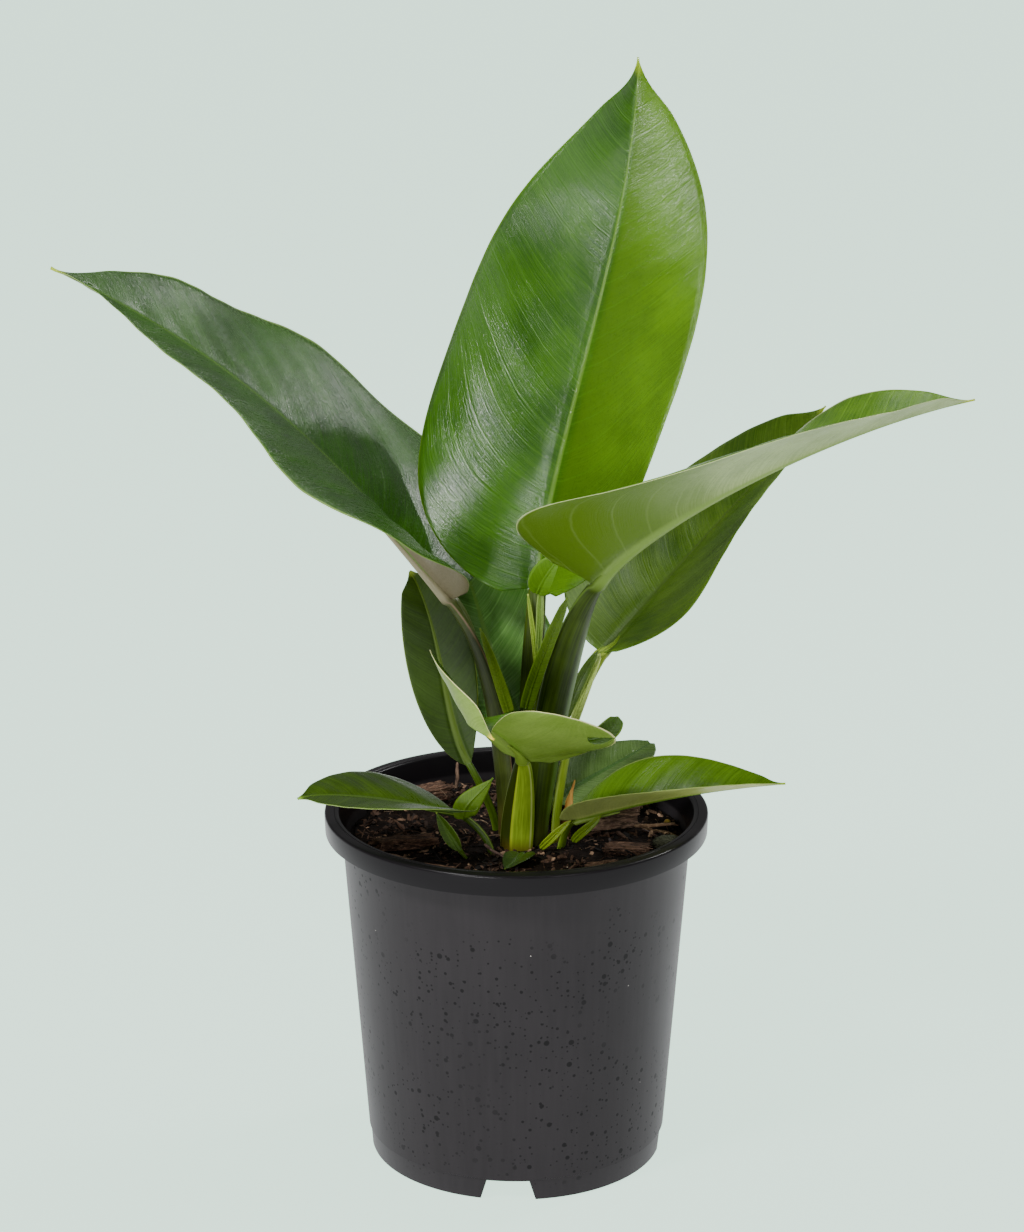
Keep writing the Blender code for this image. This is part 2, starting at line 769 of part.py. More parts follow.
def make_twig(lump, seed):
    bm = bmesh.new()
    bmesh.ops.create_cone(
        bm, cap_ends=True, segments=7, radius1=0.5, radius2=0.32, depth=1.0,
        matrix=Matrix.Rotation(math.pi / 2, 4, "Y"),
    )
    lengthwise = [e for e in bm.edges if abs((e.verts[0].co - e.verts[1].co).x) > 0.5]
    bmesh.ops.subdivide_edges(bm, edges=lengthwise, cuts=4)
    lump_surface(bm, lump, np.random.default_rng(seed))
    add_object(lump.name, mesh_from(bm, lump.name), plant, bark_brown)


def make_bead():
    bm = bmesh.new()
    bmesh.ops.create_icosphere(bm, subdivisions=2, radius=BEAD_RADIUS * MM)
    middle = np.array(BEAD_PLACE) * spread()
    centre = lifted(np.array([*middle, BEAD_RADIUS + SURFACE_GAP]))
    bmesh.ops.translate(bm, verts=bm.verts[:], vec=centre)
    add_object("fertiliser_bead", mesh_from(bm, "fertiliser_bead"), plant, bead_yellow)


def make_bud_scale():
    """The dried scale that wrapped a leaf bud: a narrow pointed strip, hollow towards the stalks."""
    bm = bmesh.new()
    bmesh.ops.create_grid(bm, x_segments=4, y_segments=8, size=1)
    flat = np.array([v.co for v in bm.verts])
    up = (flat[:, 1] + 1) / 2
    width = BUD_SCALE_HALF_WIDTH * (1 - up**2.5) + 0.3
    x = BUD_SCALE_FOOT[0] + flat[:, 0] * width + 5 * up**2
    y = BUD_SCALE_FOOT[1] - 1.2 * flat[:, 0] ** 2 * (1 - up) - 2 * up
    z = SURFACE_GAP + 0.5 + BUD_SCALE_HEIGHT * up
    for vert, place in zip(bm.verts, lifted(np.column_stack([x, y, z]))):
        vert.co = place
    scale = add_object("bud_scale", mesh_from(bm, "bud_scale"), plant, bud_orange)
    shell = scale.modifiers.new("scale thickness", "SOLIDIFY")
    shell.thickness = 0.6 * MM
    shell.offset = 0.0


# ---------------------------------------------------------------- build

clear_scene()
plant = new_collection("potted philodendron")
cutters = new_collection("cutters")
pot_plastic = material("black_pot_plastic", (0.035, 0.033, 0.036), 0.45)
mix_brown = material("potting_mix", (0.045, 0.028, 0.018), 0.95)
root_brown = material("root_and_crown", (0.42, 0.33, 0.18), 0.7)
leaf_green = material("leaf_green", (0.06, 0.17, 0.015), 0.35)
bark_brown = material("bark", (0.13, 0.075, 0.045), 0.9)
grit_grey = material("grit", (0.16, 0.16, 0.13), 0.85)
bead_yellow = material("fertiliser_bead", (0.45, 0.28, 0.04), 0.5)
bud_orange = material("dried_scale", (0.5, 0.22, 0.03), 0.6)

make_pot()
make_crown_and_mix()
for one in LEAVES:
    make_leaf(one)
for seed, one in enumerate(BARK):
    make_bark(one, seed, grit_grey if one.name == "grey_grit" else bark_brown)
for seed, one in enumerate(TWIGS):
    make_twig(one, 40 + seed)
make_bead()
make_bud_scale()
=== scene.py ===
import math

import bmesh
import bpy
import numpy as np
from mathutils import Matrix, Vector, noise


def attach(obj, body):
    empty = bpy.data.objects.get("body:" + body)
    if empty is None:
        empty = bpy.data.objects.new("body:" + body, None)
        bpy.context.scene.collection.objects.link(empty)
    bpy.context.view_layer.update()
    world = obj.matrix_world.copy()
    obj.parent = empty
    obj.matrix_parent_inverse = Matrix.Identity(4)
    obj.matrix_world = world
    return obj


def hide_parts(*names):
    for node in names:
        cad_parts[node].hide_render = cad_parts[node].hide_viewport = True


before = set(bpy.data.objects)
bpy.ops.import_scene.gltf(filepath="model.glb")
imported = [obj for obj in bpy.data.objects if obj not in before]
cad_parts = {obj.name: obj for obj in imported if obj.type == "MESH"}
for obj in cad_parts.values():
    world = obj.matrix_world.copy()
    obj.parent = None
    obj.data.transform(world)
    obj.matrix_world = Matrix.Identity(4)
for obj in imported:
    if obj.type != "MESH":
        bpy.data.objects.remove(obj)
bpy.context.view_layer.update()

MM = 0.001

# ---------------------------------------------------------------- nursery pot
# The pot is one thin injection moulding in black polypropylene: a tapered wall under a
# rolled rim with a hanging lip, and a foot band with four drainage notches. Handling has
# dulled it, and water splashed on it has dried to small dark spots.

RIM_RADIUS = 100.0
POT_HEIGHT = 187.0
RIM_WIDTH = 7.7
LIP_DEPTH = 11.0
LIP_WALL = 1.6
LIP_DRAFT = 0.4
WALL = 1.7
SHOULDER_RADIUS = 91.0
FOOT_RADIUS = 77.0
FOOT_BAND_HEIGHT = 12.0
FOOT_BAND_STEP = 0.8
FLOOR_HEIGHT = 9.0
FLOOR_THICKNESS = 1.8
NOTCH_TURN = math.radians(-93.2)
POT_BLACK = (0.0185, 0.0162, 0.0178)


def finish_mesh(bm, name, sharp_degrees=None):
    """Turns a bmesh into a shown object at the origin, smooth except at edges over the angle."""
    data = bpy.data.meshes.new(name)
    bm.to_mesh(data)
    bm.free()
    data.shade_smooth()
    if sharp_degrees:
        data.set_sharp_from_angle(angle=math.radians(sharp_degrees))
    made = bpy.data.objects.new(name, data)
    bpy.context.scene.collection.objects.link(made)
    return made


def spun(profile, steps):
    """A closed profile of (radius, height) in millimetres, spun once about the pot's axis."""
    bm = bmesh.new()
    verts = [bm.verts.new((r * MM, 0.0, z * MM)) for r, z in profile]
    edges = [bm.edges.new((a, b)) for a, b in zip(verts, verts[1:] + verts[:1])]
    bmesh.ops.spin(
        bm, geom=verts + edges, axis=(0, 0, 1), cent=(0, 0, 0),
        angle=math.tau, steps=steps, use_merge=True,
    )
    bmesh.ops.remove_doubles(bm, verts=bm.verts[:], dist=1e-6)
    bmesh.ops.recalc_face_normals(bm, faces=bm.faces[:])
    return bm


def wall_radius(height):
    """Outer radius of the pot's side between the foot band and the shoulder."""
    low = FOOT_RADIUS + 2 * FOOT_BAND_STEP
    share = (height - FOOT_BAND_HEIGHT) / (POT_HEIGHT - LIP_DEPTH - FOOT_BAND_HEIGHT)
    return low + (SHOULDER_RADIUS - low) * share


def rounded(corner, before, after, radius, count=4):
    """Points of a rounded corner of the profile, from the side before it to the side after."""
    corner, before, after = (np.asarray(p, float) for p in (corner, before, after))
    start = corner + (before - corner) * min(1, radius / np.linalg.norm(before - corner))
    end = corner + (after - corner) * min(1, radius / np.linalg.norm(after - corner))
    t = np.linspace(0, 1, count)[:, None]
    return [tuple(p) for p in start * (1 - t) ** 2 + 2 * corner * t * (1 - t) + end * t**2]


shoulder = POT_HEIGHT - LIP_DEPTH
rim_inside = RIM_RADIUS - RIM_WIDTH
lip_foot = RIM_RADIUS - LIP_DRAFT
floor_top = FLOOR_HEIGHT + FLOOR_THICKNESS
step_radius = FOOT_RADIUS + FOOT_BAND_STEP
pot_profile = [
    (0, floor_top),
    (wall_radius(floor_top) - WALL, floor_top),
    (SHOULDER_RADIUS - WALL, shoulder),
]
pot_profile += rounded((rim_inside, POT_HEIGHT), (rim_inside - 1, shoulder), (RIM_RADIUS, POT_HEIGHT), 1.4)
pot_profile += [
    (rim_inside + 2.2, POT_HEIGHT),
    (rim_inside + 2.5, POT_HEIGHT - 0.3),
    (rim_inside + 2.9, POT_HEIGHT),
]
pot_profile += rounded((RIM_RADIUS, POT_HEIGHT), (rim_inside, POT_HEIGHT), (lip_foot, shoulder), 1.5)
lip_inside = (lip_foot - LIP_WALL, shoulder)
pot_profile += rounded((lip_foot, shoulder), (RIM_RADIUS, POT_HEIGHT), lip_inside, 0.5, 3)
pot_profile += [
    lip_inside,
    (RIM_RADIUS - LIP_WALL, POT_HEIGHT - 2 * LIP_WALL),
    (rim_inside + 1.6, POT_HEIGHT - 2 * LIP_WALL),
    (SHOULDER_RADIUS, shoulder),
    (wall_radius(FOOT_BAND_HEIGHT + 0.5), FOOT_BAND_HEIGHT + 0.5),
    (wall_radius(FOOT_BAND_HEIGHT), FOOT_BAND_HEIGHT),
    (step_radius + 0.1, FOOT_BAND_HEIGHT - 0.4),
    (step_radius, FOOT_BAND_HEIGHT - 0.8),
]
pot_profile += rounded((FOOT_RADIUS, 0), (step_radius, FOOT_BAND_HEIGHT), (FOOT_RADIUS - WALL, 0), 0.7, 3)
pot_profile += [(FOOT_RADIUS - WALL, 0), (FOOT_RADIUS - WALL, FLOOR_HEIGHT), (0, FLOOR_HEIGHT)]
pot = finish_mesh(spun(pot_profile, 192), "pot_shell", 40)


def wedge(name, corners, turn):
    """A hidden block that cuts the pot: corners scaled and moved from a unit cube, then turned."""
    bm = bmesh.new()
    bmesh.ops.create_cube(bm, size=1.0)
    for vert in bm.verts:
        vert.co = corners(vert.co)
    bmesh.ops.rotate(bm, verts=bm.verts[:], cent=(0, 0, 0), matrix=Matrix.Rotation(turn, 3, "Z"))
    return finish_mesh(bm, name)


def notch_corner(co):
    width = 22.0 if co.z > 0 else 29.0
    return Vector(((FOOT_RADIUS + co.x * 14) * MM, co.y * width * MM, (11.0 if co.z > 0 else -1.0) * MM))


def slot_corner(co):
    return Vector(((58 + co.x * 16) * MM, co.y * 9 * MM, (FLOOR_HEIGHT + 0.9 + co.z * 6) * MM))


def cut(piece, cutter):
    """Cuts the block out of the piece for good, and keeps the piece smooth."""
    step = piece.modifiers.new("cut", "BOOLEAN")
    step.operation = "DIFFERENCE"
    step.solver = "EXACT"
    step.object = cutter
    graph = bpy.context.evaluated_depsgraph_get()
    data = bpy.data.meshes.new_from_object(piece.evaluated_get(graph))
    piece.modifiers.clear()
    piece.data = data
    bpy.data.objects.remove(cutter)


for quarter in range(4):
    turn = NOTCH_TURN + math.tau * quarter / 4
    cut(pot, wedge("notch", notch_corner, turn))
    cut(pot, wedge("slot", slot_corner, turn + math.pi / 4))
pot.data.shade_smooth()
pot.data.set_sharp_from_angle(angle=math.radians(35))


def shade(colour, share):
    return tuple(channel * share for channel in colour)


class Paint:
    """A material being mixed: short calls that add and join nodes."""

    def __init__(self, name, group=False):
        if group:
            self.tree = bpy.data.node_groups.new(name, "ShaderNodeTree")
            self.inside = self.tree.nodes.new("NodeGroupInput")
            self.outside = self.tree.nodes.new("NodeGroupOutput")
            return
        self.material = bpy.data.materials.new(name)
        self.material.use_nodes = True
        self.tree = self.material.node_tree
        self.shader = self.tree.nodes["Principled BSDF"]

    def socket(self, name, kind, way="INPUT", value=None):
        made = self.tree.interface.new_socket(name=name, in_out=way, socket_type=f"NodeSocket{kind}")
        if value is not None:
            made.default_value = value

    def put(self, target, value):
        if isinstance(value, bpy.types.NodeSocket):
            self.tree.links.new(value, target)
        elif value is not None:
            target.default_value = (*value[:3], 1.0) if target.type == "RGBA" else value

    def node(self, kind, out=0, settings=None, **inputs):
        made = self.tree.nodes.new(f"ShaderNode{kind}")
        for key, value in (settings or {}).items():
            setattr(made, key, value)
        for key, value in inputs.items():
            self.put(made.inputs[key.replace("_", " ")], value)
        return made.outputs[out]

    def maths(self, operation, a, b=None, c=None, clamp=False):
        made = self.tree.nodes.new("ShaderNodeMath")
        made.operation = operation
        made.use_clamp = clamp
        for socket, value in zip(made.inputs, (a, b, c)):
            self.put(socket, value)
        return made.outputs[0]

    def times(self, a, b):
        return self.maths("MULTIPLY", a, b)

    def plus(self, a, b):
        return self.maths("ADD", a, b)

    def minus(self, a, b):
        return self.maths("SUBTRACT", a, b)

    def axis(self, vector, index=0):
        """One coordinate of a vector: 0 for its first, 1 for its second, 2 for its third."""
        return self.node("SeparateXYZ", out=index, Vector=vector)

    def between(self, value, low, high):
        """0 below low and 1 above high, smooth between them."""
        made = self.tree.nodes.new("ShaderNodeMapRange")
        made.interpolation_type = "SMOOTHSTEP"
        for key, given in (("Value", value), ("From Min", low), ("From Max", high)):
            self.put(made.inputs[key], given)
        return made.outputs[0]

    def mix(self, share, first, second, blend="MIX"):
        made = self.tree.nodes.new("ShaderNodeMix")
        made.data_type = "RGBA"
        made.blend_type = blend
        self.put(made.inputs[0], share)
        self.put(made.inputs[6], first)
        self.put(made.inputs[7], second)
        return made.outputs[2]

    def noise(self, place, scale, detail=3.0, roughness=0.55):
        return self.node("TexNoise", Vector=place, Scale=scale, Detail=detail, Roughness=roughness)

    def group(self, group, **inputs):
        made = self.tree.nodes.new("ShaderNodeGroup")
        made.node_tree = group
        for key, value in inputs.items():
            self.put(made.inputs[key.replace("_", " ")], value)
        return made.outputs

    def finish(self, colour, roughness, height=None, strength=0.3, depth=0.0005, **fixed):
        self.put(self.shader.inputs["Base Color"], colour)
        self.put(self.shader.inputs["Roughness"], roughness)
        for key, value in fixed.items():
            self.shader.inputs[key.replace("_", " ")].default_value = value
        if height is not None:
            bump = self.node("Bump", Height=height, Strength=strength, Distance=depth)
            self.tree.links.new(bump, self.shader.inputs["Normal"])
        return self.material


def splashes():
    """Dried drops: round dark spots of four sizes, spread evenly over a surface."""
    p = Paint("splashes", group=True)
    p.socket("Place", "Vector")
    p.socket("Spot", "Float", "OUTPUT")
    spots = 0.0
    for scale, size, chance in ((105, 0.16, 0.5), (150, 0.19, 0.55), (230, 0.2, 0.55), (380, 0.22, 0.6)):
        cell = p.tree.nodes.new("ShaderNodeTexVoronoi")
        p.put(cell.inputs["Vector"], p.inside.outputs["Place"])
        p.put(cell.inputs["Scale"], scale)
        pick = p.maths("GREATER_THAN", p.node("SeparateColor", Color=cell.outputs["Color"]), chance)
        disc = p.minus(1.0, p.between(cell.outputs["Distance"], size * 0.8, size * 1.15))
        spots = p.maths("MAXIMUM", spots, p.times(pick, disc))
    p.put(p.outside.inputs["Spot"], spots)
    return p.tree


def moulded_black():
    p = Paint("moulded_black")
    place = p.node("TexCoord", out=3)
    height = p.axis(place, 2)
    side = p.times(p.between(height, 0.174, 0.168), p.between(height, 0.003, 0.014))
    low = p.between(height, 0.175, 0.1)
    gap = p.minus(0.5, p.times(low, 0.2))
    patchy = p.between(p.noise(place, 16.0, 2.0), gap, 0.58)
    spots = p.group(splashes(), Place=place)["Spot"]
    spots = p.times(spots, p.times(side, patchy))
    streaks = p.noise(p.node("Mapping", Vector=place, Scale=(30.0, 30.0, 1.2)), 9.0, 4.0)
    grain = p.noise(place, 900.0, 2.0)
    cloud = p.noise(place, 14.0, 4.0)
    colour = p.mix(p.between(streaks, 0.3, 0.8), POT_BLACK, shade(POT_BLACK, 1.2))
    colour = p.mix(p.times(p.between(cloud, 0.4, 0.7), 0.3), colour, (0.03, 0.026, 0.028))
    speck = p.tree.nodes.new("ShaderNodeTexVoronoi")
    p.put(speck.inputs["Vector"], place)
    p.put(speck.inputs["Scale"], 140.0)
    dot = p.maths("LESS_THAN", speck.outputs["Distance"], 0.045)
    chosen = p.maths("GREATER_THAN", p.node("SeparateColor", Color=speck.outputs["Color"]), 0.95)
    colour = p.mix(p.times(spots, 0.9), colour, (0.0025, 0.0022, 0.0025))
    colour = p.mix(p.times(dot, chosen), colour, (0.35, 0.33, 0.3))
    # Painted shade: the rim and its lip are painted darker than the wall; they are also given a glossier
    # finish.
    lip = p.between(height, 0.1745, 0.1765)
    colour = p.mix(lip, colour, (0.0055, 0.0045, 0.0055))
    rough = p.plus(0.33, p.times(cloud, 0.14))
    rough = p.minus(rough, p.times(lip, 0.1))
    rough = p.plus(rough, p.times(spots, 0.12))
    relief = p.plus(p.times(grain, 0.25), p.times(spots, 0.6))
    return p.finish(colour, rough, relief, 0.2, 0.0002, Specular_IOR_Level=0.16)


pot.data.materials.append(moulded_black())
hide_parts("nursery_pot")
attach(pot, "root")

# ---------------------------------------------------------------- potting mix
# The pot is filled to 19 mm under the rim with a dark, moist mix of composted bark: crumbs
# and fibres of every size, a little higher at the back left.

MIX_SURFACE = POT_HEIGHT - 19.0
MIX_SEGMENTS = 96


def mix_height(x, y):
    """Height of the mix's surface in millimetres at a place, with its mound and crumbs."""
    spot = Vector((x * 0.045, y * 0.045, 0.0))
    rough = noise.fractal(spot, 0.9, 2.1, 5) * 1.9
    fine = noise.noise(Vector((x * 0.42, y * 0.42, 3.0))) * 0.8
    mound = 7.5 * math.exp(-(((x + 42) / 22) ** 2 + ((y - 58) / 14) ** 2))
    edge = max(0.0, math.hypot(x, y) - 80) * 0.12
    return MIX_SURFACE + 0.8 + rough + fine + mound + edge


def make_mix():
    bm = bmesh.new()
    radius = wall_radius(MIX_SURFACE) - WALL - 0.4
    bmesh.ops.create_circle(bm, cap_ends=True, cap_tris=False, segments=MIX_SEGMENTS, radius=radius * MM)
    for _ in range(44):
        cap = max(bm.faces, key=lambda f: len(f.verts))
        if len(cap.verts) < MIX_SEGMENTS:
            break
        bmesh.ops.inset_region(bm, faces=[cap], thickness=radius / 45 * MM, depth=0.0)
    bmesh.ops.poke(bm, faces=[max(bm.faces, key=lambda f: len(f.verts))])
    top = bm.verts[:]
    edges = [e for e in bm.edges if e.is_boundary]
    for vert in top:
        vert.co.z = mix_height(vert.co.x / MM, vert.co.y / MM) * MM
    skirt = bmesh.ops.extrude_edge_only(bm, edges=edges)["geom"]
    foot = [g for g in skirt if isinstance(g, bmesh.types.BMVert)]
    low = (wall_radius(floor_top) - WALL - 0.6) / radius
    for vert in foot:
        vert.co.x *= low
        vert.co.y *= low
        vert.co.z = (floor_top + 0.5) * MM
    bmesh.ops.holes_fill(bm, edges=[e for e in bm.edges if e.is_boundary], sides=0)
    bmesh.ops.recalc_face_normals(bm, faces=bm.faces[:])
    return finish_mesh(bm, "potting_mix_bed", 50)


def crumbly(name, dark, light, pale_share=0.15):
    """Moist composted bark: dark crumbs with paler fibres through it."""
    p = Paint(name)
    place = p.node("TexCoord", out=3)
    cell = p.tree.nodes.new("ShaderNodeTexVoronoi")
    p.put(cell.inputs["Vector"], place)
    p.put(cell.inputs["Scale"], 330.0)
    tint = p.node("SeparateColor", Color=cell.outputs["Color"])
    cloud = p.noise(place, 70.0, 5.0, 0.65)
    drawn = p.node("Mapping", Vector=place, Scale=(3.0, 0.6, 1.0), Rotation=(0, 0, 0.5))
    fibre = p.noise(drawn, 260.0, 4.0, 0.7)
    colour = p.mix(p.between(cloud, 0.32, 0.68), dark, light)
    colour = p.mix(p.times(tint, 0.5), colour, dark)
    pale = p.times(p.between(fibre, 0.6, 0.74), pale_share * 3)
    colour = p.mix(pale, colour, (0.16, 0.1, 0.06))
    relief = p.plus(cell.outputs["Distance"], p.times(fibre, 0.8))
    rough = p.minus(0.9, p.times(p.between(cloud, 0.5, 0.7), 0.3))
    return p.finish(colour, rough, relief, 0.8, 0.0012, Specular_IOR_Level=0.08)


mix_skin = crumbly("composted_bark", (0.003, 0.002, 0.0015), (0.013, 0.0075, 0.005))
mix_bed = make_mix()
mix_bed.data.materials.append(mix_skin)
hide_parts("potting_mix")
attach(mix_bed, "root")


def set_uv(bm, name, values):
    """Writes one UV map from a value pair held for each vertex."""
    layer = bm.loops.layers.uv.new(name)
    for face in bm.faces:
        for loop in face.loops:
            loop[layer].uv = values[loop.vert.index]


# ---------------------------------------------------------------- crumbs of the mix
# Over the bed lie the crumbs themselves: broken bark from dust to chips as long as a nail,
# coconut fibres lying every way, and a few pale specks of husk.

SEEDS = {"crumbs": 7, "fibres": 19, "specks": 31}
MIX_REACH = wall_radius(MIX_SURFACE) - WALL - 1.5
LYING_TILT = 0.35
SLICE = ((-0.5, -0.5), (0.5, -0.5), (0.5, 0.5), (-0.5, 0.5))


def scatter(name, count, seed, make, reach=MIX_REACH):
    """One mesh of many small shapes laid on the mix; the map "chip" holds two random values each."""
    rng = np.random.default_rng(seed)
    bm = bmesh.new()
    tints = []
    while len(tints) < count:
        x, y = rng.uniform(-reach, reach, 2)
        if math.hypot(x, y) > reach:
            continue
        size, fresh = make(bm, rng)
        turn = Matrix.Rotation(rng.uniform(0, math.tau), 3, "Z")
        turn = turn @ Matrix.Rotation(rng.normal(0, LYING_TILT), 3, "Y")
        turn = turn @ Matrix.Rotation(rng.normal(0, LYING_TILT), 3, "X")
        low = Vector((x, y, mix_height(x, y) + size * 0.25))
        for vert in fresh:
            vert.co = (turn @ vert.co + low) * MM
        tints.append((len(fresh), rng.uniform(0, 1, 2)))
    bm.verts.index_update()
    set_uv(bm, "chip", np.concatenate([np.tile(tint, (amount, 1)) for amount, tint in tints]))
    bmesh.ops.recalc_face_normals(bm, faces=bm.faces[:])
    return finish_mesh(bm, name, 35)


def rod(bm, rings):
    """Joins rings of the same number of points into a closed rod, and returns its vertices."""
    table = [[bm.verts.new(point) for point in ring] for ring in rings]
    for near, far in zip(table, table[1:]):
        for corner in range(len(near)):
            after = (corner + 1) % len(near)
            bm.faces.new((near[corner], near[after], far[after], far[corner]))
    bm.faces.new(table[0][::-1])
    bm.faces.new(table[-1])
    return [vert for ring in table for vert in ring]


def chip(bm, rng):
    """A splinter of bark: four square slices, pinched towards ragged ends."""
    long, wide, thick = rng.lognormal(1.15, 0.6), rng.uniform(0.7, 2.6), rng.uniform(0.4, 1.5)
    rings = []
    for x in (-0.5, -0.17, 0.17, 0.5):
        pinch = 1.15 - 1.2 * abs(x) * rng.uniform(0.5, 1.1)
        square = [(x * long, y * wide * pinch, z * thick * pinch) for y, z in SLICE]
        rings.append([Vector(corner) + Vector(rng.uniform(-0.12, 0.12, 3)) for corner in square])
    return thick, rod(bm, rings)


def fibre(bm, rng):
    """A bent hair of coir or root, three-sided, in five lengths."""
    long, thick = rng.uniform(4, 15), rng.uniform(0.09, 0.24)
    bend, lift = rng.uniform(-0.35, 0.35), rng.uniform(0.2, 2.6)
    rings = []
    for t in np.linspace(0, 1, 6):
        middle = Vector(((t - 0.5) * long, bend * long * t * (1 - t) * 2, lift * math.sin(math.pi * t)))
        turns = [math.tau * corner / 3 for corner in range(3)]
        rings.append([middle + Vector((0, math.cos(turn), math.sin(turn))) * thick for turn in turns])
    return thick, rod(bm, rings)


def speck(bm, rng):
    """A round pale grain."""
    radius = rng.uniform(0.25, 0.75)
    made = bmesh.ops.create_icosphere(bm, subdivisions=1, radius=radius)["verts"]
    for vert in made:
        vert.co *= rng.uniform(0.75, 1.25)
    return radius, made


def chip_skin(name, dark, middle, light, rough=0.8):
    """Loose bits: each has its own tint between the three colours, mottled over its surface."""
    p = Paint(name)
    place = p.node("TexCoord", out=3)
    tints = p.node("UVMap", settings={"uv_map": "chip"})
    own, other = p.axis(tints), p.axis(tints, 1)
    colour = p.mix(p.between(own, 0.25, 0.8), dark, middle)
    colour = p.mix(p.between(own, 0.86, 1.0), colour, light)
    mottle = p.noise(place, 900.0, 3.0)
    colour = p.mix(p.times(p.between(mottle, 0.4, 0.7), 0.5), colour, dark)
    roughness = p.minus(rough, p.times(other, 0.25))
    return p.finish(colour, roughness, mottle, 0.5, 0.0004, Specular_IOR_Level=0.15)


crumb_skin = chip_skin("bark_crumb", (0.003, 0.0018, 0.0012), (0.075, 0.04, 0.025), (0.38, 0.24, 0.155))
fibre_skin = chip_skin("coir", (0.012, 0.006, 0.004), (0.06, 0.032, 0.018), (0.28, 0.2, 0.13))
speck_skin = chip_skin("husk", (0.08, 0.05, 0.02), (0.22, 0.16, 0.1), (0.5, 0.44, 0.33))
for piece, skin in (
    (scatter("mix_crumbs", 2400, SEEDS["crumbs"], chip), crumb_skin),
    (scatter("mix_fibres", 420, SEEDS["fibres"], fibre, MIX_REACH - 6), fibre_skin),
    (scatter("mix_specks", 170, SEEDS["specks"], speck), speck_skin),
):
    piece.data.materials.append(skin)
    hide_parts("potting_mix")
    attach(piece, "root")

# ---------------------------------------------------------------- bark
# Pine bark broken into blocks and slabs: square-cornered, split along the grain into plates,
# ragged across the ends, dusty brown outside and redder where it has torn.


def ragged(bm, size, seed, grain, rounding):
    """Wears a unit cube's mesh into a split block: pulled corners, deep grain, broken ends."""
    apart = Vector((seed * 7.3, seed * 3.1, seed * 1.7))
    for vert in bm.verts:
        at = vert.co.copy()
        square = 2 * max(abs(at.x), abs(at.y), abs(at.z))
        ball = at.normalized() * 0.62 * square
        shape = at.lerp(ball, rounding)
        split = noise.noise(Vector((at.x * 1.1, at.y * 11, at.z * 11)) + apart)
        ridge = noise.noise(Vector((at.x * 2.5, at.y * 24, at.z * 24)) + apart)
        lump = noise.noise(at * 2.6 + apart * 2)
        ends = noise.noise(Vector((0.0, at.y * 9, at.z * 9)) - apart) * abs(at.x) ** 2
        shape = shape * (1 + grain * (split * 0.55 + ridge * 0.2) + lump * 0.16)
        shape.x += ends * 0.5
        vert.co = Vector((shape.x * size[0], shape.y * size[1], shape.z * size[2]))


def make_bark(name, place, size, turn, tilt=0, grain=0.35, rounding=0.25, sink=0.6, cuts=15):
    bm = bmesh.new()
    bmesh.ops.create_cube(bm, size=1.0)
    bmesh.ops.subdivide_edges(bm, edges=bm.edges[:], cuts=cuts, use_grid_fill=True)
    flat = np.array([v.co for v in bm.verts])
    seed = sum(map(ord, name)) % 97
    ragged(bm, size, seed, grain, rounding)
    lie = Matrix.Rotation(math.radians(turn), 3, "Z") @ Matrix.Rotation(math.radians(tilt), 3, "Y")
    low = -min((lie @ v.co).z for v in bm.verts) - sink
    for vert in bm.verts:
        vert.co = (lie @ vert.co + Vector((*place, MIX_SURFACE + low))) * MM
    bm.verts.index_update()
    along = flat[:, 0] * size[0] / 100
    around = (flat[:, 1] * size[1] + flat[:, 2] * size[2]) / 100
    set_uv(bm, "grain", np.column_stack([along, around]))
    return finish_mesh(bm, f"{name}_piece", 45)


def bark_skin(name, dark, middle, light, rough=0.85, lengthwise=0.16):
    """Split wood: colour and relief drawn out along the map "grain"."""
    p = Paint(name)
    place = p.node("TexCoord", out=3)
    grain = p.node("UVMap", settings={"uv_map": "grain"})
    drawn = p.node("Mapping", Vector=grain, Scale=(lengthwise, 1.0, 1.0))
    coarse = p.noise(drawn, 55.0, 4.0, 0.6)
    fine = p.noise(drawn, 210.0, 3.0, 0.7)
    cloud = p.noise(place, 130.0, 3.0)
    colour = p.mix(p.between(coarse, 0.32, 0.62), dark, middle)
    colour = p.mix(p.times(p.between(fine, 0.48, 0.7), 0.7), colour, light)
    colour = p.mix(p.times(p.between(cloud, 0.5, 0.72), 0.6), colour, dark)
    relief = p.plus(coarse, p.times(fine, 0.5))
    roughness = p.minus(rough, p.times(cloud, 0.15))
    return p.finish(colour, roughness, relief, 0.9, 0.0009, Specular_IOR_Level=0.15)


bark_brown = bark_skin("split_bark", (0.008, 0.0045, 0.003), (0.13, 0.07, 0.044), (0.36, 0.22, 0.145))
bark_pale = bark_skin("weathered_bark", (0.02, 0.013, 0.009), (0.2, 0.125, 0.085), (0.42, 0.29, 0.2))
grit_skin = bark_skin(
    "grey_green_grit", (0.025, 0.028, 0.016), (0.07, 0.075, 0.045), (0.15, 0.15, 0.1), lengthwise=1.0
)
BARK = (
    ("bark_block", (51, 20), (23, 13, 13), 12, 0, bark_pale),
    ("bark_slab_left", (-58, -13), (33, 8, 5.5), 28, 6, bark_brown),
    ("bark_slab_rim", (-66, -35), (22, 9, 5), -28, 0, bark_pale),
    ("bark_chip_front_left", (-41, -51), (17, 10, 5), -20, 0, bark_brown),
    ("bark_chip_front", (-18, -62), (19, 11, 4), 12, 0, bark_brown),
    ("bark_chip_mound", (-46, 57), (17, 12, 10), 35, 0, bark_brown),
    ("bark_chip_rear", (-62, 47), (13, 9, 8), -25, 0, bark_brown),
    ("bark_chip_right", (57, -19), (21, 9, 5), -8, 0, bark_brown),
    ("bark_chip_right_front", (45, -45), (17, 10, 5), 18, 0, bark_brown),
)
